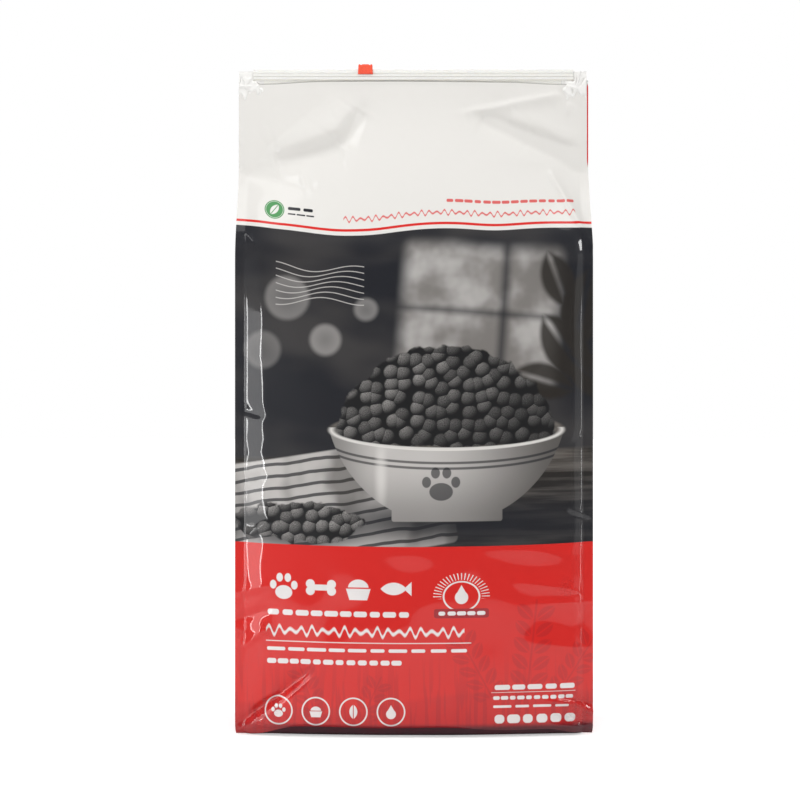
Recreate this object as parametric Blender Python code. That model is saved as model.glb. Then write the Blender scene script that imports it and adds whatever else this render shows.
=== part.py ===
"""Pet food bag: a filled flat-bottom pouch of printed film with four welded corner fins, folded
side gussets and a slider zip across its closed mouth.

Metres, +Z up. The origin is under the middle of the bag, on the surface that it stands on. The
front panel faces -Y and the zip runs along X.
"""

import math
from dataclasses import dataclass

import bmesh
import bpy

# The filled body
CORNER_HALF_WIDTH = 0.175
CORNER_HALF_DEPTH = 0.059
PANEL_BULGE = 0.017
GUSSET_BULGE = 0.008
FOOT_RADIUS = 0.012
FOOT_TUCK = 0.009
CORNER_TUCK_SHARE = 0.1
PANEL_TUCK_SHARE = 1.6
PANEL_FULLNESS = 2.2
FILL_TOP = 0.490

# The empty film above the filling
WEDGE_RISE = 0.110
BULGE_FADE = 0.070
FILM_TOP = 0.688
HEADER_SPREAD = 0.002
HEADER_FLATTENING = 0.6
GUSSET_FLAT_WIDTH = 0.130
GUSSET_FOLD_LEAD = 0.020
GUSSET_FOLD_SHARE = 0.6
GUSSET_FOOT_SHARE = 0.3
GUSSET_ROOF_DROP = 0.002
EAR_WIDTH = 0.0155
EAR_SHORTFALL = 0.002
EAR_OVERLAP = 0.004

# Film and welds
FIN_WIDTH = 0.010
FIN_THICKNESS = 0.0008
FILM_WELD = 0.001
MOUTH_FILM = 0.0005

# The zip: two profiles with a rail, a neck, a lock and a flange each
ZIP_SHOWN = 0.012
FLANGE_DEPTH = 0.008
FLANGE_THICKNESS = 0.0005
FLANGE_ROOT = 0.001
CLEARANCE = 0.0003
RAIL_THICKNESS = 0.00155
RAIL_HEIGHT = 0.0037
RAIL_CHAMFER = 0.0006
NECK_THICKNESS = 0.00085
NECK_HEIGHT = 0.0018
LOCK_THICKNESS = 0.00205
LOCK_WALL = 0.0005
LOCK_LIP = 0.00035
LOCK_MOUTH = 0.0013
LOCK_HOLLOW = 0.0025
KEEL_GROOVE_WIDTH = 0.0018
KEEL_GROOVE_DEPTH = 0.0014
RIB_GROOVE_DEPTH = 0.0003
RIB_GROOVE_WIDTH = 0.0007
RIB_GROOVES = 2

# The slider
SLIDER_LENGTH = 0.0160
SLIDER_TAPER = 0.0008
SLIDER_WALL = 0.0016
SLIDER_CROWN = 0.0053
SLIDER_DIP = 0.0007
SLIDER_DIP_PLACE = 0.62
SLIDER_DIP_SPREAD = 0.14
SLIDER_ROUNDING = 0.0008
SLIDER_SHOULDER = ((2.2, 0.0), (0.8, 0.5), (0.2, 1.6))
SLIDER_END_SHARE = 0.2
SLIDER_POSITION = -0.0515

# How finely the bag is drawn
PANEL_STEPS = 32
GUSSET_STEPS = 8
BODY_RINGS = 11
WEDGE_RINGS = 12
HEADER_RINGS = 9
FOOT_RINGS = 4

# The handling creases of a panel: the two ends of each, as distances in from a weld and up from the
# top of the filling or, for the two at the foot, from the floor
CREASE_WIDTH = 0.009
CREASE_DEPTH = 0.0035
HEAD_CREASE_LEFT = ((0.018, 0.108), (0.101, 0.126))
HEAD_CREASE_BRANCH = ((0.101, 0.126), (0.125, 0.166))
HEAD_RIDGE_RIGHT = ((0.131, 0.165), (0.024, 0.183))
HEAD_CREASE_RIGHT = ((0.115, 0.161), (0.012, 0.118))
SHOULDER_CREASE = ((0.020, 0.070), (0.002, 0.000))
FOOT_CREASE_LEFT = ((0.000, 0.012), (0.055, 0.060))
FOOT_CREASE_RIGHT = ((0.000, 0.024), (0.055, 0.040))

# Worked out from the sizes above
ZIP_TOP = FILM_TOP + ZIP_SHOWN
WEDGE_TOP = FILL_TOP + WEDGE_RISE
FLANGE_OUTER = CLEARANCE / 2 + FLANGE_THICKNESS
SLOT_HALF_DEPTH = FLANGE_OUTER + CLEARANCE
MOUTH_HALF_DEPTH = SLOT_HALF_DEPTH + MOUTH_FILM
HEADER_HALF_WIDTH = CORNER_HALF_WIDTH + HEADER_SPREAD
SIDE_EDGE = HEADER_HALF_WIDTH + FIN_WIDTH
SLOT_HALF_LENGTH = SIDE_EDGE - 2 * FIN_THICKNESS
ZIP_HALF_LENGTH = SLOT_HALF_LENGTH - CLEARANCE
RAIL_HALF_LENGTH = SIDE_EDGE - EAR_WIDTH - CLEARANCE
SLOT_FLOOR = FILM_TOP - FLANGE_DEPTH - CLEARANCE
GUSSET_ROOF = SLOT_FLOOR - GUSSET_ROOF_DROP
SLIDER_STATIONS = (-1.0, -0.93, -0.8, -0.62, -0.44, -0.2, 0.2, 0.44, 0.62, 0.8, 0.93, 1.0)
SHARP_ANGLE = math.radians(35.0)

FILM_WHITE = (0.80, 0.78, 0.74, 1.0)
ZIP_NATURAL = (0.86, 0.84, 0.77, 1.0)
SLIDER_RED = (0.83, 0.06, 0.04, 1.0)


def clear_scene():
    """Take away whatever the scene holds."""
    for found in list(bpy.data.objects):
        bpy.data.objects.remove(found)


def ease(share):
    """A soft step from 0 to 1 as share goes from 0 to 1."""
    share = min(1.0, max(0.0, share))
    return share * share * (3.0 - 2.0 * share)


def material(name, colour, roughness):
    """A plain plastic of one colour."""
    made = bpy.data.materials.new(name)
    made.use_nodes = True
    shader = made.node_tree.nodes["Principled BSDF"]
    shader.inputs["Base Color"].default_value = colour
    shader.inputs["Roughness"].default_value = roughness
    shader.inputs["Metallic"].default_value = 0.0
    return made


def add_object(name, mesh_builder, finish, smooth=False):
    """Close a bmesh into a named object with its finish, shaded smooth where it is round."""
    mesh = bpy.data.meshes.new(name)
    bmesh.ops.recalc_face_normals(mesh_builder, faces=mesh_builder.faces)
    mesh_builder.to_mesh(mesh)
    mesh_builder.free()
    made = bpy.data.objects.new(name, mesh)
    bpy.context.scene.collection.objects.link(made)
    if finish is not None:
        mesh.materials.append(finish)
    if smooth:
        mesh.shade_smooth()
        mesh.set_sharp_from_angle(angle=SHARP_ANGLE)
    return made


def loft(rings):
    """A closed solid through rings of points that have the same count."""
    builder = bmesh.new()
    rows = [[builder.verts.new(point) for point in ring] for ring in rings]
    count = len(rows[0])
    for lower, upper in zip(rows, rows[1:]):
        for i in range(count):
            j = (i + 1) % count
            builder.faces.new((lower[i], lower[j], upper[j], upper[i]))
    builder.faces.new(list(reversed(rows[0])))
    builder.faces.new(rows[-1])
    return builder


def box(low, high):
    """A box between two corners."""
    rings = [
        [(low[0], low[1], z), (high[0], low[1], z), (high[0], high[1], z), (low[0], high[1], z)]
        for z in (low[2], high[2])
    ]
    return loft(rings)


# The filled film body


@dataclass(frozen=True)
class Crease:
    """A soft crease in a panel between two (x, z) places: a valley, or a ridge if its depth is negative."""

    start: tuple
    end: tuple
    depth: float = CREASE_DEPTH
    width: float = CREASE_WIDTH

    def pull(self, x, z):
        """How far the crease draws the panel inwards at this place."""
        run, rise = self.end[0] - self.start[0], self.end[1] - self.start[1]
        length = math.hypot(run, rise)
        along = ((x - self.start[0]) * run + (z - self.start[1]) * rise) / length
        off = ((x - self.start[0]) * rise - (z - self.start[1]) * run) / length
        beyond = max(0.0, -along, along - length)
        return self.depth * math.exp(-((off / self.width) ** 2) - (beyond / self.width) ** 2)


def crease(side, base, ends, depth=CREASE_DEPTH):
    """One handling crease, from its ends in from the left (-1) or right (1) weld and up from a base."""
    start, end = ((side * (CORNER_HALF_WIDTH - inward), base + up) for inward, up in ends)
    return Crease(start, end, depth)


def creases():
    """The creases of the empty head, of the right shoulder and of the two bottom corners."""
    return (
        crease(-1, FILL_TOP, HEAD_CREASE_LEFT),
        crease(-1, FILL_TOP, HEAD_CREASE_BRANCH),
        crease(1, FILL_TOP, HEAD_RIDGE_RIGHT, -CREASE_DEPTH / 2),
        crease(1, FILL_TOP, HEAD_CREASE_RIGHT),
        crease(1, FILL_TOP, SHOULDER_CREASE),
        crease(-1, 0.0, FOOT_CREASE_LEFT),
        crease(1, 0.0, FOOT_CREASE_RIGHT),
    )


def tuck(z):
    """How far the walls curve in under the bag at this height."""
    if z >= FOOT_RADIUS:
        return 0.0
    rise = 1.0 - z / FOOT_RADIUS
    return FOOT_TUCK * (1.0 - math.sqrt(max(0.0, 1.0 - rise * rise)))


def corner_half_width(z):
    """Half the distance between the left and right corner welds."""
    spread = HEADER_SPREAD * ease((z - FILL_TOP) / WEDGE_RISE)
    return CORNER_HALF_WIDTH + spread - CORNER_TUCK_SHARE * tuck(z)


def corner_half_depth(z):
    """Half the distance between the front and back corner welds."""
    closed = ease((z - FILL_TOP) / WEDGE_RISE)
    open_depth = CORNER_HALF_DEPTH - tuck(z)
    return open_depth + (MOUTH_HALF_DEPTH - open_depth) * closed


def middle_half_depth(z):
    """Half the thickness of the bag at its centre line."""
    fade_start = FILL_TOP - BULGE_FADE
    full = CORNER_HALF_DEPTH + PANEL_BULGE - PANEL_TUCK_SHARE * tuck(z)
    share = ease((FILM_TOP - z) / (FILM_TOP - fade_start))
    return MOUTH_HALF_DEPTH + (full - MOUTH_HALF_DEPTH) * share


def panel_half_depth(x, z):
    """How far the front or back panel stands off the middle plane at a place across the bag."""
    corner = corner_half_depth(z)
    crest = max(0.0, middle_half_depth(z) - corner)
    closing = min(1.0, max(0.0, (z - WEDGE_TOP) / (FILM_TOP - WEDGE_TOP)))
    reach = corner_half_width(z) * (1.0 - HEADER_FLATTENING * closing)
    across = min(1.0, abs(x) / reach)
    plump = corner + crest * (1.0 - across**PANEL_FULLNESS)
    to_weld = ease((corner_half_width(z) - abs(x)) / (2 * CREASE_WIDTH))
    to_end = ease((FILM_TOP - z) / (2 * CREASE_WIDTH)) * ease(z / FOOT_RADIUS)
    pull = sum(fold.pull(x, z) for fold in creases())
    return max(MOUTH_HALF_DEPTH, plump - pull * to_weld * to_end)


def gusset_offset(side, z):
    """How far the side gusset stands outside the corner welds; inside where the fold tucks it in."""
    corner = corner_half_depth(z)
    filled = 1.0 - ease((z - FILL_TOP + GUSSET_FOLD_LEAD) / (GUSSET_FOLD_SHARE * WEDGE_RISE))
    to_foot = ease(z / (2.0 * FOOT_RADIUS) + GUSSET_FOOT_SHARE)
    outward = GUSSET_BULGE * filled * (1.0 - side * side) * to_foot
    if z > GUSSET_ROOF:
        return outward
    half_flat = GUSSET_FLAT_WIDTH / 2
    slack = math.sqrt(max(0.0, half_flat * half_flat - corner * corner)) * (1.0 - filled)
    return outward - slack * (1.0 - abs(side))


def bag_ring(z):
    """One outline of the bag, seen from above, anticlockwise from the front left weld."""
    half_width = corner_half_width(z)
    corner = corner_half_depth(z)
    edge = half_width + FIN_WIDTH
    inner = corner - FIN_THICKNESS
    steps = [-1.0 + 2.0 * i / PANEL_STEPS for i in range(PANEL_STEPS + 1)]
    sides = [-1.0 + 2.0 * i / GUSSET_STEPS for i in range(GUSSET_STEPS + 1)]
    front = [(s * half_width, -panel_half_depth(s * half_width, z), z) for s in steps]
    right = [(half_width + gusset_offset(s, z), s * inner, z) for s in sides]
    back = [(-x, -y, z) for x, y, _ in front]
    left = [(-x, -y, z) for x, y, _ in right]
    return (
        front
        + [(edge, -corner, z), (edge, -inner, z)]
        + right
        + [(edge, inner, z), (edge, corner, z)]
        + back
        + [(-edge, corner, z), (-edge, inner, z)]
        + left
        + [(-edge, -inner, z), (-edge, -corner, z)]
    )


def ring_heights():
    """The heights of the bag's outlines, closest together where it curves."""
    foot = [FOOT_RADIUS * (1.0 - math.cos(math.pi / 2 * i / FOOT_RINGS)) for i in range(FOOT_RINGS + 1)]
    body_rise = FILL_TOP - BULGE_FADE - FOOT_RADIUS
    body = [FOOT_RADIUS + body_rise * (i + 1) / BODY_RINGS for i in range(BODY_RINGS)]
    wedge_rise = WEDGE_TOP - body[-1]
    wedge = [body[-1] + wedge_rise * (i + 1) / WEDGE_RINGS for i in range(WEDGE_RINGS)]
    header_rise = GUSSET_ROOF - WEDGE_TOP
    header = [WEDGE_TOP + header_rise * (i + 1) / HEADER_RINGS for i in range(HEADER_RINGS)]
    return foot + body + wedge + header + [GUSSET_ROOF + GUSSET_ROOF_DROP / 2, FILM_TOP]


def boolean(target, tool, operation):
    """Join or cut a solid with a helper solid, which is then left out of the part."""
    step = target.modifiers.new(tool.name, "BOOLEAN")
    step.operation = operation
    step.solver = "EXACT"
    step.object = tool
    tool.hide_render = True
    tool.display_type = "WIRE"


def build_bag(finish):
    """The filled film bag, with an ear of film over each end of the zip and a slot for its flanges."""
    bag = add_object("bag", loft([bag_ring(z) for z in ring_heights()]), finish, smooth=True)
    for side, name in ((-1, "ear_left"), (1, "ear_right")):
        ends = sorted((side * SIDE_EDGE, side * (SIDE_EDGE - EAR_WIDTH)))
        low = (ends[0], -MOUTH_HALF_DEPTH, FILM_TOP - EAR_OVERLAP)
        high = (ends[1], MOUTH_HALF_DEPTH, ZIP_TOP - EAR_SHORTFALL)
        boolean(bag, add_object(name, box(low, high), None), "UNION")
    low = (-SLOT_HALF_LENGTH, -SLOT_HALF_DEPTH, SLOT_FLOOR)
    high = (SLOT_HALF_LENGTH, SLOT_HALF_DEPTH, ZIP_TOP + EAR_OVERLAP)
    boolean(bag, add_object("zip_slot", box(low, high), None), "DIFFERENCE")
    return bag


# The zip


def extrude_along_x(outline, half_length):
    """A bar whose section is a list of (y, z) points."""
    builder = bmesh.new()
    near = [builder.verts.new((-half_length, y, z)) for y, z in outline]
    far = [builder.verts.new((half_length, y, z)) for y, z in outline]
    count = len(outline)
    for i in range(count):
        j = (i + 1) % count
        builder.faces.new((near[i], near[j], far[j], far[i]))
    builder.faces.new(list(reversed(near)))
    builder.faces.new(far)
    return builder


def lock_height():
    """The height of the lock part of each profile, between the neck and the film."""
    return ZIP_SHOWN - RAIL_HEIGHT - NECK_HEIGHT


def lock_centre():
    """The height of the middle of the lock."""
    return FILM_TOP + lock_height() / 2


def outer_outline():
    """The outer side of a profile from its foot to its top, as distances out from the middle plane."""
    out = CLEARANCE / 2
    neck_top = ZIP_TOP - RAIL_HEIGHT
    lock_top = neck_top - NECK_HEIGHT
    points = [(out, FILM_TOP + CLEARANCE), (out + LOCK_THICKNESS, FILM_TOP + CLEARANCE)]
    pitch = lock_height() / (RIB_GROOVES + 1)
    for i in range(RIB_GROOVES):
        middle = FILM_TOP + pitch * (i + 1)
        points += [
            (out + LOCK_THICKNESS, middle - RIB_GROOVE_WIDTH / 2),
            (out + LOCK_THICKNESS - RIB_GROOVE_DEPTH, middle),
            (out + LOCK_THICKNESS, middle + RIB_GROOVE_WIDTH / 2),
        ]
    return points + [
        (out + LOCK_THICKNESS, lock_top),
        (out + NECK_THICKNESS, lock_top),
        (out + NECK_THICKNESS, neck_top),
        (out + RAIL_THICKNESS, neck_top),
        (out + RAIL_THICKNESS, ZIP_TOP - RAIL_CHAMFER),
        (out + RAIL_THICKNESS - RAIL_CHAMFER, ZIP_TOP),
        (KEEL_GROOVE_WIDTH / 2, ZIP_TOP),
        (out, ZIP_TOP - KEEL_GROOVE_DEPTH),
    ]


def hollow_outline():
    """The groove inside the front profile, from top to bottom, as distances out from the middle plane."""
    out = CLEARANCE / 2
    middle = lock_centre()
    floor = out + LOCK_THICKNESS - LOCK_WALL
    lip = out + LOCK_LIP
    return [
        (out, middle + LOCK_MOUTH / 2),
        (lip, middle + LOCK_MOUTH / 2),
        (lip, middle + LOCK_HOLLOW / 2),
        (floor, middle + LOCK_HOLLOW / 2),
        (floor, middle - LOCK_HOLLOW / 2),
        (lip, middle - LOCK_HOLLOW / 2),
        (lip, middle - LOCK_MOUTH / 2),
        (out, middle - LOCK_MOUTH / 2),
    ]


def arrow_outline():
    """The arrow on the back profile that locks into the groove, as distances out from the middle plane."""
    out = CLEARANCE / 2
    middle = lock_centre()
    stem = LOCK_MOUTH / 2 - CLEARANCE
    barb = LOCK_HOLLOW / 2 - CLEARANCE
    barb_back = -(out + LOCK_LIP + CLEARANCE)
    tip = -(out + LOCK_THICKNESS - LOCK_WALL - CLEARANCE)
    return [
        (out, middle + stem),
        (barb_back, middle + stem),
        (barb_back, middle + barb),
        (tip, middle + stem),
        (tip, middle - stem),
        (barb_back, middle - barb),
        (barb_back, middle - stem),
        (out, middle - stem),
    ]


def flange_outline():
    """The pressed strip of a profile as (x, z) points: a flange in the film with a taller tab at each end."""
    foot = FILM_TOP - FLANGE_DEPTH
    top = FILM_TOP + CLEARANCE + FLANGE_ROOT
    tab_top = ZIP_TOP - EAR_SHORTFALL - FILM_WELD
    tab = RAIL_HALF_LENGTH + CLEARANCE
    right = [(ZIP_HALF_LENGTH, foot), (ZIP_HALF_LENGTH, tab_top), (tab, tab_top), (tab, top)]
    return right + [(-x, z) for x, z in reversed(right)]


def build_profile(name, side, inner_outline, finish):
    """One zip profile: rail, neck and lock between the ears, on the pressed strip that the film holds."""
    out = CLEARANCE / 2
    section = [(side * y, z) for y, z in outer_outline() + inner_outline]
    profile = add_object(name, extrude_along_x(section, RAIL_HALF_LENGTH), finish)
    builder = bmesh.new()
    near = [builder.verts.new((x, side * out, z)) for x, z in flange_outline()]
    far = [builder.verts.new((x, side * FLANGE_OUTER, z)) for x, z in flange_outline()]
    for i in range(len(near)):
        j = (i + 1) % len(near)
        builder.faces.new((near[i], near[j], far[j], far[i]))
    builder.faces.new(list(reversed(near)))
    builder.faces.new(far)
    boolean(profile, add_object(f"{name}_strip", builder, None), "UNION")
    return profile


# The slider


def slider_section(length_share):
    """The slider's section at a place along it, from -1 to 1, as (y, z) points."""
    near_end = ease((abs(length_share) - 1.0) / SLIDER_END_SHARE + 1.0)
    shrink = SLIDER_ROUNDING * near_end
    rail_side = CLEARANCE / 2 + RAIL_THICKNESS + CLEARANCE
    hook_side = CLEARANCE / 2 + NECK_THICKNESS + CLEARANCE
    outer = rail_side + SLIDER_WALL - shrink
    neck_top = ZIP_TOP - RAIL_HEIGHT - CLEARANCE
    hook_foot = ZIP_TOP - RAIL_HEIGHT - NECK_HEIGHT + CLEARANCE
    dip = SLIDER_DIP * math.exp(-(((abs(length_share) - SLIDER_DIP_PLACE) / SLIDER_DIP_SPREAD) ** 2))
    crown = ZIP_TOP + SLIDER_CROWN - dip - shrink / 2
    ceiling = ZIP_TOP + CLEARANCE
    keel_half = KEEL_GROOVE_WIDTH / 2 - CLEARANCE - CLEARANCE / 2
    keel_foot = ZIP_TOP - KEEL_GROOVE_DEPTH / 2
    round_top = [
        (outer - inward * SLIDER_ROUNDING, crown - down * SLIDER_ROUNDING) for inward, down in SLIDER_SHOULDER
    ]
    half = [(0.0, crown)] + round_top + [
        (outer, hook_foot + SLIDER_ROUNDING),
        (outer - SLIDER_ROUNDING / 2, hook_foot),
        (hook_side, hook_foot),
        (hook_side, neck_top),
        (rail_side, neck_top),
        (rail_side, ceiling),
        (keel_half, ceiling),
        (keel_half / 3, keel_foot),
    ]
    other = [(-y, z) for y, z in reversed(half[1:])]
    return half + other


def build_slider(finish):
    """The moulded slider that straddles both rails and hooks under them."""
    builder = bmesh.new()
    rows = []
    for share in SLIDER_STATIONS:
        row = []
        for y, z in slider_section(share):
            height = (z - (ZIP_TOP - RAIL_HEIGHT - NECK_HEIGHT)) / (SLIDER_CROWN + RAIL_HEIGHT + NECK_HEIGHT)
            reach = SLIDER_LENGTH / 2 - SLIDER_TAPER * height
            row.append(builder.verts.new((share * reach, y, z)))
        rows.append(row)
    count = len(rows[0])
    for near, far in zip(rows, rows[1:]):
        for i in range(count):
            j = (i + 1) % count
            builder.faces.new((near[i], near[j], far[j], far[i]))
    builder.faces.new(list(reversed(rows[0])))
    builder.faces.new(rows[-1])
    slider = add_object("slider", builder, finish, smooth=True)
    slider.location.x = SLIDER_POSITION
    return slider


def main():
    """Build the four pieces of the bag."""
    clear_scene()
    film = material("printed_film", FILM_WHITE, 0.22)
    natural = material("zip_natural", ZIP_NATURAL, 0.35)
    red = material("slider_red", SLIDER_RED, 0.3)
    build_bag(film)
    build_profile("zip_front_profile", -1, hollow_outline(), natural)
    build_profile("zip_back_profile", 1, arrow_outline(), natural)
    build_slider(red)


main()
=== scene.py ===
"""Looks of a filled pet food bag: printed laminated film, welded fins, folded gussets and a slider zip.

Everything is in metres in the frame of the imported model: +Z up, the front panel faces -Y and the zip
runs along X.
"""

from __future__ import annotations

import logging
import math
from dataclasses import dataclass, field
from enum import Enum

import bpy
import numpy as np
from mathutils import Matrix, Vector


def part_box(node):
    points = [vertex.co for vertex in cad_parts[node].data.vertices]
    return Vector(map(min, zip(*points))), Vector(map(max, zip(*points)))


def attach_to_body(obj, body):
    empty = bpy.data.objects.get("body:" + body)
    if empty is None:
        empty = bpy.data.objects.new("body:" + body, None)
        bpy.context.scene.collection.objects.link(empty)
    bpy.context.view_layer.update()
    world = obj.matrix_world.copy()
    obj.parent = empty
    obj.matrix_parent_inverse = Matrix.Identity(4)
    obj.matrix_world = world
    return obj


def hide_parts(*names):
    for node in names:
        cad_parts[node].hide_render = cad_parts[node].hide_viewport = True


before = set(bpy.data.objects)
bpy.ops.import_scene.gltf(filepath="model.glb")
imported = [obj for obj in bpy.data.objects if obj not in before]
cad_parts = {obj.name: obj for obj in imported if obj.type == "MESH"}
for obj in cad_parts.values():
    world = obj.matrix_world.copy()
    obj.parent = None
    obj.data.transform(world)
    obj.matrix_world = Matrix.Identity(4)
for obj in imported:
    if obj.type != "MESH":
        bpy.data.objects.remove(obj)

LOG = logging.getLogger("pet_food_bag")
FLAT_MAP = "OFBake"
IMAGE_SIDE = 800

Colour = tuple[float, float, float]
Place = tuple[float, float]
Point = tuple[float, float, float]


class Side(Enum):
    """The left and right of the bag, with the sign of X on each."""

    LEFT = -1
    RIGHT = 1


class Face(Enum):
    """The front and back of the bag, with the sign of Y on each."""

    FRONT = -1
    BACK = 1


def ease(share: np.ndarray) -> np.ndarray:
    """Return a soft step from 0 to 1 as share goes from 0 to 1."""
    share = np.clip(share, 0.0, 1.0)
    return share * share * (3.0 - 2.0 * share)


def hump(value: np.ndarray, middle: float, spread: float) -> np.ndarray:
    """Return a bell that is 1 at its middle and fades out over its spread on both sides."""
    return np.exp(-(((value - middle) / spread) ** 2))


# Form


@dataclass(frozen=True)
class Crease:
    """A crease in a panel between two places (x, z): a valley, or a ridge if its depth is negative.

    Attributes:
        start: Where it begins.
        end: Where it ends.
        depth: How far it draws the film inwards.
        width: How wide it is on its steep side.
        skew: How many times wider it is on its other side.
    """

    start: Place
    end: Place
    depth: float
    width: float
    skew: float = 1.0

    def pull(self, x: np.ndarray, z: np.ndarray) -> np.ndarray:
        """Return how far the crease draws the film inwards at each place.

        Args:
            x: Places across the panel.
            z: Heights.

        Returns:
            The inward movement at each place.
        """
        run, rise = self.end[0] - self.start[0], self.end[1] - self.start[1]
        length = math.hypot(run, rise)
        along = ((x - self.start[0]) * run + (z - self.start[1]) * rise) / length
        off = ((x - self.start[0]) * rise - (z - self.start[1]) * run) / length
        width = np.where(off > 0.0, self.width, self.width * self.skew)
        middle = np.clip(along / length, 0.0, 1.0)
        fullness = np.sqrt(np.clip(1.0 - (2.0 * middle - 1.0) ** 2, 0.0, 1.0))
        beyond = np.maximum(0.0, np.maximum(-along, along - length))
        blur = hump(beyond, 0.0, self.width)
        return self.depth * blur * (0.35 + 0.65 * fullness) / (1.0 + (off / width) ** 2) ** 1.5


def crease_rows(*rows: tuple[float, ...]) -> tuple[Crease, ...]:
    """Return creases from rows that hold x and z of both ends, the depth, the width and the skew."""
    return tuple(Crease((a, b), (c, d), *sizes) for a, b, c, d, *sizes in rows)


@dataclass(frozen=True)
class Waves:
    """Slow waves of a slack film.

    Attributes:
        seed: What they are drawn from.
        slope: How steep they are on the whole.
        longest: The longest of them.
        shortest: The shortest of them.
        count: How many there are.
    """

    seed: int
    slope: float = 0.02
    longest: float = 0.13
    shortest: float = 0.038
    count: int = 18

    def height(self, x: np.ndarray, z: np.ndarray) -> np.ndarray:
        """Return how far the waves lift the film at each place (x, z).

        Args:
            x: Places across the panel.
            z: Heights.

        Returns:
            The outward movement at each place.
        """
        draw = np.random.default_rng(self.seed)
        total = np.zeros_like(x)
        for _ in range(self.count):
            length = self.shortest * (self.longest / self.shortest) ** draw.random()
            turn, phase = draw.uniform(0.0, 2.0 * math.pi, 2)
            rate = 2.0 * math.pi / length
            total += np.sin(rate * (x * math.cos(turn) + z * math.sin(turn)) + phase) / rate
        return self.slope * math.sqrt(2.0 / self.count) * total


@dataclass(frozen=True)
class Roll:
    """How the film of a panel rolls over towards its fin, along one side.

    Attributes:
        knots: Heights, and how wide the roll is at each.
        depth: How far the film has come forward at its inner end.
    """

    knots: tuple[Place, ...] = ((0.0, 0.015), (0.25, 0.019), (0.48, 0.016))
    depth: float = 0.0036

    def rise(self, inward: np.ndarray, z: np.ndarray) -> np.ndarray:
        """Return how far the film comes forward.

        Args:
            inward: How far each place is inside the weld.
            z: Heights.

        Returns:
            The outward movement at each place.
        """
        heights, widths = zip(*self.knots)
        share = np.clip(inward / np.interp(z, heights, widths), 0.0, 1.0)
        return self.depth * (1.0 - (1.0 - share) ** 2)


@dataclass(frozen=True)
class PanelShape:
    """What shapes one panel besides its filling.

    Attributes:
        creases: Its creases.
        waves: Its slow waves.
        left_roll: How it rolls over at its left.
        right_roll: The same at its right.
    """

    creases: tuple[Crease, ...]
    waves: Waves
    left_roll: Roll = Roll()
    right_roll: Roll = Roll()


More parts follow.
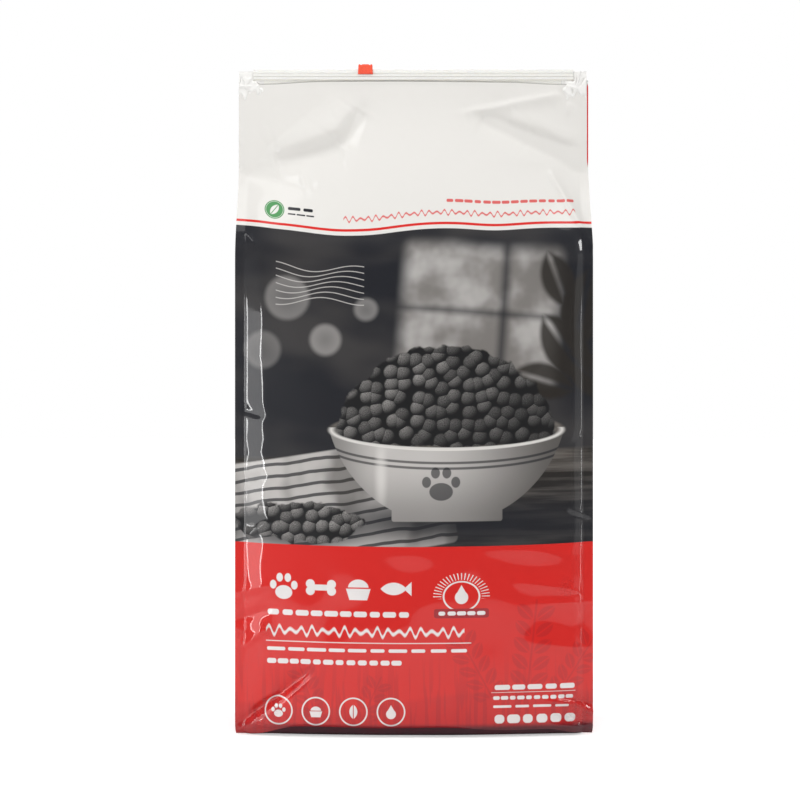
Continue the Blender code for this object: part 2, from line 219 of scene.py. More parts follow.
@dataclass(frozen=True)
class PouchForm:
    """The shape of the filled bag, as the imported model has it.

    Attributes:
        edge: Half the width of the film over its fins, at the zip.
        seam_half_width: Half the distance between the corner welds of the filled part.
        seam_half_depth: How far those welds stand from the middle plane.
        panel_bulge: How far the middle of a panel stands outside them.
        gusset_bulge: The same for the side gussets.
        gusset_width: The flat width of a gusset.
        fill_top: The height of the filling at the welds.
        wedge_rise: The height in which the welds come together.
        bulge_fade: How far below the top of the filling the panels start to lean in.
        film_top: The height of the film's edge under the zip.
        mouth: How far the film stands from the middle plane at the zip.
        foot_radius: The height of the rounding at the foot.
        foot_tuck: How far the walls curve in there.
        foot_draw: How much of that the corner welds take up across the bag.
        fin: The width of a weld.
    """

    edge: float
    seam_half_width: float = 0.175
    seam_half_depth: float = 0.059
    panel_bulge: float = 0.017
    gusset_bulge: float = 0.008
    gusset_width: float = 0.13
    fill_top: float = 0.49
    wedge_rise: float = 0.11
    bulge_fade: float = 0.07
    film_top: float = 0.688
    mouth: float = 0.00145
    foot_radius: float = 0.012
    foot_tuck: float = 0.009
    foot_draw: float = 0.1
    fin: float = 0.01

    def closing(self, z: np.ndarray) -> np.ndarray:
        """Return how far the welds have come together at each height, from 0 to 1."""
        return ease((z - self.fill_top) / self.wedge_rise)

    def tuck(self, z: np.ndarray) -> np.ndarray:
        """Return how far the walls curve in under the bag at each height."""
        rise = np.clip(1.0 - z / self.foot_radius, 0.0, 1.0)
        return self.foot_tuck * (1.0 - np.sqrt(1.0 - rise * rise))

    def seam_x(self, z: np.ndarray) -> np.ndarray:
        """Return how far the corner welds stand from the middle of the bag at each height."""
        spread = self.edge - self.fin - self.seam_half_width
        return self.seam_half_width + spread * self.closing(z) - self.foot_draw * self.tuck(z)

    def seam_y(self, z: np.ndarray) -> np.ndarray:
        """Return how far the corner welds stand from the middle plane at each height."""
        open_depth = self.seam_half_depth - self.tuck(z)
        return open_depth + (self.mouth - open_depth) * self.closing(z)

    def panel_y(self, x: np.ndarray, z: np.ndarray, shape: PanelShape) -> np.ndarray:
        """Return how far a creased front or back panel stands from the middle plane.

        Args:
            x: Places across the panel, out to its fins.
            z: Heights.
            shape: What shapes the panel besides its filling.

        Returns:
            The distance from the middle plane at each place.
        """
        seam = self.seam_y(z)
        full = self.seam_half_depth + self.panel_bulge - 1.6 * self.tuck(z)
        start = self.fill_top - self.bulge_fade
        middle = self.mouth + (full - self.mouth) * ease((self.film_top - z) / (self.film_top - start))
        wedge_top = self.fill_top + self.wedge_rise
        closed = np.clip((z - wedge_top) / (self.film_top - wedge_top), 0.0, 1.0)
        across = np.minimum(1.0, np.abs(x) / (self.seam_x(z) * (1.0 - 0.6 * closed)))
        inward = self.seam_x(z) - np.abs(x)
        roll = np.where(x < 0.0, shape.left_roll.rise(inward, z), shape.right_roll.rise(inward, z))
        open_share = 1.0 - self.closing(z)
        bulge = np.maximum(0.0, middle - seam - shape.left_roll.depth * open_share)
        plump = seam + bulge * (1.0 - across**2.2) + roll * open_share
        to_end = ease((self.film_top - z) / 0.012)
        to_fin = ease(inward / 0.02)
        pull = sum(crease.pull(x, z) for crease in shape.creases)
        lift = shape.waves.height(x, z) * to_fin * (0.35 + 0.65 * open_share) - pull
        return np.maximum(self.mouth, plump + lift * to_end)

    def gusset_x(self, share: np.ndarray, z: np.ndarray) -> np.ndarray:
        """Return how far a gusset stands outside the corner welds, below zero where it is folded in.

        Args:
            share: Places across the gusset, from -1 to 1.
            z: Heights.

        Returns:
            The outward distance at each place.
        """
        filled = 1.0 - ease((z - self.fill_top + 0.02) / (0.6 * self.wedge_rise))
        foot = ease(z / (2.0 * self.foot_radius) + 0.3)
        outward = self.gusset_bulge * filled * (1.0 - share * share) * foot
        half = self.gusset_width / 2
        slack = np.sqrt(np.maximum(0.0, half**2 - self.seam_y(z) ** 2)) * (1.0 - filled)
        return outward - slack * (1.0 - np.abs(share))


@dataclass
class FilmSheet:
    """A panel of film as a grid of points, with what it needs to settle.

    Attributes:
        points: The grid, rows up and columns across, as it was laid out.
        spare: How much longer than its place the film is, as a share, at each point.
        hold: How firmly each point is held in its place, from 0 to 1.
    """

    points: np.ndarray
    spare: np.ndarray
    hold: np.ndarray


class FilmSettler:
    """Lets the film take up its spare length in small wrinkles, from coarse to fine."""

    def __init__(self, steps: tuple[tuple[int, int], ...], stiffness: float) -> None:
        """Set how the film settles.

        Args:
            steps: For each pass, how many grid points to skip and how many times to go round.
            stiffness: How strongly the film evens out its movement.
        """
        self.steps = steps
        self.stiffness = stiffness

    def settle(self, sheet: FilmSheet, seed: int, floor_y: float | None) -> np.ndarray:
        """Settle one sheet.

        Args:
            sheet: The sheet as it was laid out.
            seed: What the first uneven movement is drawn from.
            floor_y: How near the middle plane the film may come, or None.

        Returns:
            The settled grid of points.
        """
        rows, columns = sheet.points.shape[:2]
        moved = np.zeros_like(sheet.points)
        for skip, rounds in self.steps:
            r = np.unique(np.append(np.arange(0, rows, skip), rows - 1))
            c = np.unique(np.append(np.arange(0, columns, skip), columns - 1))
            place = sheet.points[np.ix_(r, c)]
            spare = sheet.spare[np.ix_(r, c)]
            hold = sheet.hold[np.ix_(r, c)][..., None]
            shift = moved[np.ix_(r, c)]
            noise = np.random.default_rng(seed + skip).normal(size=place.shape[:2])
            shift += (spare * noise * skip * 0.02)[..., None] * self.normals(place)
            shift = self.relax(place, spare, hold, shift, rounds, floor_y)
            moved = self.spread(shift, r, c, rows, columns)
        return sheet.points + moved

    @staticmethod
    def normals(grid: np.ndarray) -> np.ndarray:
        """Return the unit normal of a grid at each of its points.

        Args:
            grid: The grid of points.

        Returns:
            The normals.
        """
        across = np.gradient(grid, axis=1)
        up = np.gradient(grid, axis=0)
        normal = np.cross(across, up)
        return normal / np.maximum(1e-12, np.linalg.norm(normal, axis=2, keepdims=True))

    @staticmethod
    def spread(shift: np.ndarray, r: np.ndarray, c: np.ndarray, rows: int, columns: int) -> np.ndarray:
        """Spread the movement of a coarse grid over the fine one.

        Args:
            shift: The movement of the coarse grid.
            r: The rows that it has.
            c: The columns that it has.
            rows: How many rows the fine grid has.
            columns: How many columns it has.

        Returns:
            The movement of the fine grid.
        """
        tall = np.apply_along_axis(lambda line: np.interp(np.arange(rows), r, line), 0, shift)
        return np.apply_along_axis(lambda line: np.interp(np.arange(columns), c, line), 1, tall)

    def relax(self, place: np.ndarray, spare: np.ndarray, hold: np.ndarray, shift: np.ndarray,
              rounds: int, floor_y: float | None) -> np.ndarray:
        """Move a grid until its edges have their lengths.

        Args:
            place: Where the points were laid out.
            spare: The spare length at each point, as a share.
            hold: How firmly each point is held.
            shift: How far each point has moved so far.
            rounds: How many times to go round.
            floor_y: How near the middle plane the film may come, or None.

        Returns:
            The new movement of each point.
        """
        links = []
        for down, over in ((0, 1), (1, 0), (1, 1), (1, -1)):
            for parity in (0, 1):
                a, b = self.pairs(place.shape, down, over, parity)
                gap = np.linalg.norm(place[b] - place[a], axis=2, keepdims=True)
                grown = gap * (1.0 + 0.5 * (spare[a] + spare[b])[..., None])
                links.append((a, b, grown))
        points = place + shift
        side = np.sign(place[..., 1].mean())
        for _ in range(rounds):
            for a, b, length in links:
                run = points[b] - points[a]
                now = np.maximum(1e-9, np.linalg.norm(run, axis=2, keepdims=True))
                pull = 0.45 * (now - length) / now * run
                points[a] += pull
                points[b] -= pull
            moved = points - place
            even = moved.copy()
            even[1:-1, 1:-1] = 0.25 * (
                moved[:-2, 1:-1] + moved[2:, 1:-1] + moved[1:-1, :-2] + moved[1:-1, 2:]
            )
            moved += self.stiffness * (even - moved)
            moved *= 1.0 - hold
            points = place + moved
            if floor_y is not None:
                points[..., 1] = side * np.maximum(side * points[..., 1], floor_y)
        return points - place

    @staticmethod
    def pairs(shape: tuple[int, ...], down: int, over: int, parity: int) -> tuple:
        """Return the slices of a grid that pair each point with a neighbour, each point used once.

        Args:
            shape: The grid's shape.
            down: How many rows up the neighbour is.
            over: How many columns across it is.
            parity: Which half of the pairs to take.

        Returns:
            Two tuples of slices, for the points and their neighbours.
        """
        rows, columns = shape[:2]
        if down == 0:
            last = columns - 1 - (columns - 1 - parity) % 2
            return (slice(None), slice(parity, last, 2)), (slice(None), slice(parity + 1, last + 1, 2))
        last = rows - 1 - (rows - 1 - parity) % 2
        here, there = slice(parity, last, 2), slice(parity + 1, last + 1, 2)
        if over == 0:
            return (here, slice(None)), (there, slice(None))
        if over > 0:
            return (here, slice(0, -1)), (there, slice(1, None))
        return (here, slice(1, None)), (there, slice(0, -1))


# Shader nodes


def connect(tree: bpy.types.NodeTree, value: Field | float | tuple, slot: bpy.types.NodeSocket) -> None:
    """Link a field to a socket, or set the socket to a plain value.

    Args:
        tree: The node tree.
        value: The field or the plain value.
        slot: The input socket.
    """
    if isinstance(value, Field):
        tree.links.new(value.socket, slot)
    else:
        slot.default_value = value


class Field:
    """A number or colour that varies over a surface, with arithmetic that adds Math nodes."""

    def __init__(self, tree: bpy.types.NodeTree, socket: bpy.types.NodeSocket) -> None:
        """Wrap an output socket of a node tree."""
        self.tree = tree
        self.socket = socket

    def math(self, operation: str, *others: Field | float) -> Field:
        """Return this field after one Math node.

        Args:
            operation: The node's operation.
            others: Its other inputs.

        Returns:
            The node's result.
        """
        node = self.tree.nodes.new("ShaderNodeMath")
        node.operation = operation
        for slot, value in zip(node.inputs, (self, *others)):
            connect(self.tree, value, slot)
        return Field(self.tree, node.outputs[0])

    def __add__(self, other: Field | float) -> Field:
        """Return the sum."""
        return self.math("ADD", other)

    def __sub__(self, other: Field | float) -> Field:
        """Return the difference."""
        return self.math("SUBTRACT", other)

    def __mul__(self, other: Field | float) -> Field:
        """Return the product."""
        return self.math("MULTIPLY", other)

    def __truediv__(self, other: Field | float) -> Field:
        """Return the quotient."""
        return self.math("DIVIDE", other)

    def __abs__(self) -> Field:
        """Return the size without the sign."""
        return self.math("ABSOLUTE")

    def ramp(self, start: float, end: float, low: float = 0.0, high: float = 1.0) -> Field:
        """Return a soft step between two values of this field.

        Args:
            start: Where the step starts.
            end: Where it ends.
            low: The result at the start.
            high: The result at the end.

        Returns:
            The stepped field.
        """
        node = self.tree.nodes.new("ShaderNodeMapRange")
        node.interpolation_type = "SMOOTHSTEP"
        for slot, value in zip(node.inputs, (self, start, end, low, high)):
            connect(self.tree, value, slot)
        return Field(self.tree, node.outputs[0])

    def inside(self, blur: float = 0.0004) -> Field:
        """Return 1 where this signed distance is inside its shape, with an edge of the given blur."""
        return self.ramp(blur, -blur)


@dataclass(frozen=True)
class FlatMap:
    """The flat map of one panel.

    Attributes:
        socket: The output that gives it, from 0 to 1 both ways.
        width: The width of the flat panel.
        height: Its height.
    """

    socket: bpy.types.NodeSocket
    width: float
    height: float

    def mapped(self, across: float, up: float) -> bpy.types.NodeSocket:
        """Return the flat place with so many units to a metre across and up.

        Args:
            across: The units to a metre across.
            up: The units to a metre up.

        Returns:
            The socket that gives the place.
        """
        node = self.socket.id_data.nodes.new("ShaderNodeMapping")
        self.socket.id_data.links.new(self.socket, node.inputs["Vector"])
        node.inputs["Scale"].default_value = (self.width * across, self.height * up, 1.0)
        return node.outputs[0]


class Plan:
    """The flat film of one panel, with the shapes that a printer lays on it, in metres."""

    def __init__(self, tree: bpy.types.NodeTree, flat_map: FlatMap, x: Field, z: Field) -> None:
        """Take the flat map and the two coordinates.

        Args:
            tree: The material's node tree.
            flat_map: The panel's flat map.
            x: Places across the panel.
            z: Heights.
        """
        self.tree = tree
        self.flat_map = flat_map
        self.x = x
        self.z = z
        corner = tree.nodes.new("ShaderNodeCombineXYZ")
        connect(tree, x, corner.inputs[0])
        connect(tree, z, corner.inputs[1])
        self.place = Field(tree, corner.outputs[0])

    @classmethod
    def of_panel(cls, tree: bpy.types.NodeTree, width: float, height: float) -> Plan:
        """Lay the plan of a panel out from its flat map.

        Args:
            tree: The material's node tree.
            width: The width of the flat panel.
            height: Its height.

        Returns:
            The plan, with x from the panel's middle and z from its foot.
        """
        flat = tree.nodes.new("ShaderNodeUVMap")
        flat.uv_map = FLAT_MAP
        x = cls.vector(tree, "DOT_PRODUCT", flat.outputs[0], (width, 0.0, 0.0)) - width / 2
        z = cls.vector(tree, "DOT_PRODUCT", flat.outputs[0], (0.0, height, 0.0))
        return cls(tree, FlatMap(flat.outputs[0], width, height), x, z)

    @staticmethod
    def vector(tree: bpy.types.NodeTree, operation: str, *values: bpy.types.NodeSocket | Point) -> Field:
        """Add a Vector Math node.

        Args:
            tree: The node tree.
            operation: The node's operation.
            values: Its inputs, as sockets or plain vectors.

        Returns:
            The vector or number that it gives.
        """
        node = tree.nodes.new("ShaderNodeVectorMath")
        node.operation = operation
        for slot, value in zip(node.inputs, values):
            if isinstance(value, tuple):
                slot.default_value = value
            else:
                tree.links.new(value, slot)
        single = operation in ("LENGTH", "DISTANCE", "DOT_PRODUCT")
        return Field(tree, node.outputs["Value" if single else "Vector"])

    def moved(self, at: Place, size: float = 1.0, turn: float = 0.0, flat: float = 1.0) -> Plan:
        """Return a plan of its own for a motif.

        Args:
            at: The motif's middle.
            size: The length that is 1 in the motif's plan.
            turn: How far it is turned, in degrees.
            flat: How much lower than wide it is drawn.

        Returns:
            The motif's plan.
        """
        off = self.vector(self.tree, "SUBTRACT", self.place.socket, (at[0], at[1], 0.0)).socket
        c, s, tall = math.cos(math.radians(turn)), math.sin(math.radians(turn)), size * flat
        x = self.vector(self.tree, "DOT_PRODUCT", off, (c / size, s / size, 0.0))
        z = self.vector(self.tree, "DOT_PRODUCT", off, (-s / tall, c / tall, 0.0))
        return Plan(self.tree, self.flat_map, x, z)

    def disc(self, at: Place, radius: float) -> Field:
        """Return the signed distance to a disc."""
        return self.vector(self.tree, "DISTANCE", self.place.socket, (at[0], at[1], 0.0)) - radius

    def ring(self, at: Place, radius: float, width: float) -> Field:
        """Return the signed distance to a ring of a given line width."""
        return abs(self.disc(at, radius)) - width / 2

    def oval(self, at: Place, wide: float, tall: float) -> Field:
        """Return about the signed distance to an oval with two half sizes.

        Args:
            at: Its middle.
            wide: Half its width.
            tall: Half its height.

        Returns:
            The distance, below zero inside.
        """
        scale = (1.0 / wide, 1.0 / tall, 0.0)
        shift = (-at[0] / wide, -at[1] / tall, 0.0)
        unit = self.vector(self.tree, "MULTIPLY_ADD", self.place.socket, scale, shift)
        return (self.vector(self.tree, "LENGTH", unit.socket) - 1.0) * min(wide, tall)

    def slab(self, low: Place, high: Place, rounding: float = 0.0) -> Field:
        """Return the signed distance to a box with rounded corners.

        Args:
            low: Its lower left corner.
            high: Its upper right corner.
            rounding: The radius of its corners.

        Returns:
            The distance, below zero inside.
        """
        middle = ((low[0] + high[0]) / 2, (low[1] + high[1]) / 2, 0.0)
        half = ((high[0] - low[0]) / 2 - rounding, (high[1] - low[1]) / 2 - rounding, 0.0)
        off = self.vector(self.tree, "SUBTRACT", self.place.socket, middle)
        near = self.vector(self.tree, "ABSOLUTE", off.socket)
        past = self.vector(self.tree, "SUBTRACT", near.socket, half)
        clipped = self.vector(self.tree, "MAXIMUM", past.socket, (0.0, 0.0, 0.0))
        past_x = self.vector(self.tree, "DOT_PRODUCT", past.socket, (1.0, 0.0, 0.0))
        past_z = self.vector(self.tree, "DOT_PRODUCT", past.socket, (0.0, 1.0, 0.0))
        nearer = past_x.math("MAXIMUM", past_z)
        return self.vector(self.tree, "LENGTH", clipped.socket) + nearer.math("MINIMUM", 0.0) - rounding

    def dashes(
        self, start: float, end: float, level: float, height: float, pitch: float, seed: float
    ) -> Field:
        """Return a row of rounded dashes of uneven lengths, as a signed distance.

        Args:
            start: Where the row starts.
            end: Where it ends.
            level: The height of its middle.
            height: How tall the dashes are.
            pitch: How far apart they are.
            seed: What their lengths are drawn from.

        Returns:
            The distance, below zero inside a dash.
        """
        cell = (self.x - start) / pitch
        white = self.tree.nodes.new("ShaderNodeTexWhiteNoise")
        white.noise_dimensions = "1D"
        connect(self.tree, cell.math("FLOOR") + seed, white.inputs["W"])
        length = Field(self.tree, white.outputs["Value"]) * (0.14 * pitch) + 0.34 * pitch
        rounding = height * 0.42
        along = abs(cell.math("FRACT") - 0.5) * pitch - length + rounding
        across = abs(self.z - level) - height / 2 + rounding
        corner = self.tree.nodes.new("ShaderNodeCombineXYZ")
        connect(self.tree, along.math("MAXIMUM", 0.0), corner.inputs[0])
        connect(self.tree, across.math("MAXIMUM", 0.0), corner.inputs[1])
        dash = self.vector(self.tree, "LENGTH", corner.outputs[0]) - rounding
        within = abs(self.x - (start + end) / 2) - (end - start) / 2
        return dash.math("MAXIMUM", within)

    def wave(
        self, start: float, end: float, level: float, swing: float, length: float, width: float
    ) -> Field:
        """Return a running scroll line, as a signed distance.

        Args:
            start: Where it starts.
            end: Where it ends.
            level: The height of its middle.
            swing: How far it swings up and down.
            length: How far apart its crests are.
            width: How wide the line is.

        Returns:
            The distance, below zero inside the line.
        """
        turn = (self.x - start) * (2.0 * math.pi / length)
        swell = (turn * 0.31).math("SINE") * (0.35 * swing) + 0.65 * swing
        curve = self.z - level - turn.math("SINE") * swell
        steep = 1.0 / math.hypot(1.0, swing * 2.0 * math.pi / length)
        within = abs(self.x - (start + end) / 2) - (end - start) / 2
        return (abs(curve) * steep - width / 2).math("MAXIMUM", within)

    def noise(self, scale: float, detail: float = 2.0, stretch: Place = (1.0, 1.0)) -> Field:
        """Return soft noise around one half, laid out over the whole panel.

        Args:
            scale: How many features there are to a metre.
            detail: How many finer layers it has.
            stretch: How much finer it is across and up.

        Returns:
            The noise.
        """
        node = self.tree.nodes.new("ShaderNodeTexNoise")
        node.noise_dimensions = "2D"
        place = self.flat_map.mapped(scale * stretch[0], scale * stretch[1])
        self.tree.links.new(place, node.inputs["Vector"])
        node.inputs["Scale"].default_value = 1.0
        node.inputs["Detail"].default_value = detail
        return Field(self.tree, node.outputs[0])

    def pebbles(self, pitch: float) -> tuple[Field, Field, Field]:
        """Return a layer of rounded pieces about one pitch apart.

        Args:
            pitch: How far apart their middles are.

        Returns:
            How far each place is from its piece's middle, how it is lit, and the piece's own shade.
        """
        node = self.tree.nodes.new("ShaderNodeTexVoronoi")
        node.voronoi_dimensions = "2D"
        node.inputs["Scale"].default_value = 1.0
        node.inputs["Randomness"].default_value = 0.72
        place = self.flat_map.mapped(1.0 / pitch, 1.0 / pitch)
        self.tree.links.new(place, node.inputs["Vector"])
        off = self.vector(self.tree, "SUBTRACT", place, node.outputs["Position"])
        lean = self.vector(self.tree, "DOT_PRODUCT", off.socket, (-0.55, 0.95, 0.0))
        distance = Field(self.tree, node.outputs["Distance"])
        height = (distance * distance * -2.6 + 1.0).math("MAXIMUM", 0.0).math("SQRT")
        lit = lean + height * 0.55
        return distance, lit, Field(self.tree, node.outputs["Color"])


class Paint:
    """Layers of ink on one panel."""

    def __init__(self, tree: bpy.types.NodeTree, ground: Colour) -> None:
        """Start from the colour of the bare film.

        Args:
            tree: The node tree.
            ground: That colour.
        """
        node = tree.nodes.new("ShaderNodeRGB")
        node.outputs[0].default_value = (*ground, 1.0)
        self.tree = tree
        self.colour = Field(tree, node.outputs[0])

    def lay(self, mask: Field, ink: Colour | Field, strength: float = 1.0) -> None:
        """Print an ink over what is there.

        Args:
            mask: Where it is printed, from 0 to 1.
            ink: Its colour.
            strength: How much it covers.
        """
        node = self.tree.nodes.new("ShaderNodeMix")
        node.data_type = "RGBA"
        connect(self.tree, mask * strength if strength != 1.0 else mask, node.inputs["Factor"])
        connect(self.tree, self.colour, node.inputs["A"])
        connect(self.tree, ink if isinstance(ink, Field) else (*ink, 1.0), node.inputs["B"])
        self.colour = Field(self.tree, node.outputs["Result"])

    def mark(self, shape: Field, ink: Colour | Field, strength: float = 1.0) -> None:
        """Print an ink, as lay does, inside a shape that is given by its signed distance."""
        self.lay(shape.inside(), ink, strength)


def union(*shapes: Field) -> Field:
    """Return the signed distance to several shapes together.

    Args:
        shapes: The signed distance to each.

    Returns:
        The least of them.
    """
    whole = shapes[0]
    for shape in shapes[1:]:
        whole = whole.math("MINIMUM", shape)
    return whole


class Motif(Enum):
    """The plain pictures that the print is made of."""

    PAW = "paw"
    BOWL = "bowl"
    BONE = "bone"
    FISH = "fish"
    LEAF = "leaf"
    DROP = "drop"

    def at(self, plan: Plan, place: Place, size: float, turn: float = 0.0) -> Field:
        """Return the motif's signed distance in metres, with its middle at a place of the plan."""
        return self.shape(plan.moved(place, size, turn)) * size

    def shape(self, plan: Plan) -> Field:
        """Return the motif's signed distance in a plan where it is about 2 wide.

        Args:
            plan: That plan.

        Returns:
            The distance, below zero inside.
        """
        if self is Motif.PAW:
            spots = ((-0.62, 0.08), (-0.24, 0.5), (0.24, 0.5), (0.62, 0.08))
            toes = [plan.oval(spot, 0.19, 0.25) for spot in spots]
            return union(plan.oval((0.0, -0.35), 0.5, 0.4), *toes)
        if self is Motif.BOWL:
            wall = (abs(plan.x) - plan.z * 0.3 - 0.72).math("MAXIMUM", abs(plan.z + 0.35) - 0.33)
            heap = plan.oval((0.0, 0.02), 0.6, 0.5).math("MAXIMUM", plan.z * -1.0 + 0.06)
            return union(wall, heap)
        if self is Motif.BONE:
            ends = [plan.disc((x, z), 0.26) for x in (-0.62, 0.62) for z in (-0.2, 0.2)]
            return union(plan.slab((-0.6, -0.17), (0.6, 0.17)), *ends)
        if self is Motif.FISH:
            body = plan.disc((-0.12, -0.62), 0.98).math("MAXIMUM", plan.disc((-0.12, 0.62), 0.98))
            tail = (abs(plan.z) - plan.x * 0.9 + 0.42).math("MAXIMUM", plan.x - 0.92)
            return union(body, tail)
        if self is Motif.LEAF:
            blade = plan.disc((-0.5, 0.0), 0.95).math("MAXIMUM", plan.disc((0.5, 0.0), 0.95))
            return blade.math("MAXIMUM", abs(plan.x) * -1.0 + 0.05)
        point = (abs(plan.x) * 0.87 + plan.z * 0.5 - 0.39).math("MAXIMUM", plan.z * -1.0 - 0.1)
        return union(plan.disc((0.0, -0.25), 0.55), point)


# Print


@dataclass(frozen=True)
class Inks:
    """The inks of the print, in linear light.

    Attributes:
        white: The film's own white.
        lettering: The white of the marks and motifs.
        red: The red of the band and the lines.
        deep_red: The darker red of the sprigs and the ribbon.
        charcoal: The black of the picture and the back.
        umber: The picture's warm dark.
        taupe: The picture's middle grey, also the painted shade line along the film's upper edge.
        cream: Its light grey.
        green: The roundel in the header.
        kibble_dark: The shadows of the food pieces.
        kibble_light: Their lit side.
        base: The dark print of the bottom panel, also laid over the front panel's foot as painted shade.
        clean: The unprinted film over the ends of the zip, lighter than the printed white as a painted
            highlight for their glints.
    """

    white: Colour = (0.785, 0.767, 0.733)
    lettering: Colour = (0.83, 0.8, 0.79)
    red: Colour = (0.69, 0.022, 0.018)
    deep_red: Colour = (0.36, 0.016, 0.022)
    charcoal: Colour = (0.02, 0.021, 0.026)
    umber: Colour = (0.03, 0.026, 0.022)
    taupe: Colour = (0.16, 0.145, 0.13)
    cream: Colour = (0.56, 0.54, 0.52)
    green: Colour = (0.06, 0.28, 0.08)
    kibble_dark: Colour = (0.016, 0.016, 0.017)
    kibble_light: Colour = (0.28, 0.27, 0.26)
    base: Colour = (0.056, 0.006, 0.013)
    clean: Colour = (0.88, 0.87, 0.845)


@dataclass(frozen=True)
class FrontLayout:
    """Where the front panel's print lies, measured from its middle and from its foot.

    Attributes:
        film_top: The upper edge of the film.
        band_top: The top of the red band.
        picture_top: The top of the charcoal picture.
        line: The height of the red line over it.
        left: The left margin of the print.
        right: The right margin.
        foot: The heights between which the painted shade at the foot fades out.
        foot_left: The places at the left between which that painted shade grows to its full strength.
    """

    film_top: float = 0.688
    band_top: float = 0.2
    picture_top: float = 0.5255
    line: float = 0.5312
    left: float = -0.154
    right: float = 0.17
    foot: Place = (0.0165, 0.0095)
    foot_left: Place = (-0.165, -0.12)


class Artwork:
    """What is printed on a panel: the plain white film."""

    layout = FrontLayout()
    inks = Inks()

    def paint(self, plan: Plan) -> Field:
        """Return the colour of the unprinted film over the ends of the zip, lighter than the printed white
        as a painted highlight.
        """
        # Painted highlight: this film is kept lighter than the printed white so that its crumples read as
        # glinting.
        return Paint(plan.tree, self.inks.clean).colour


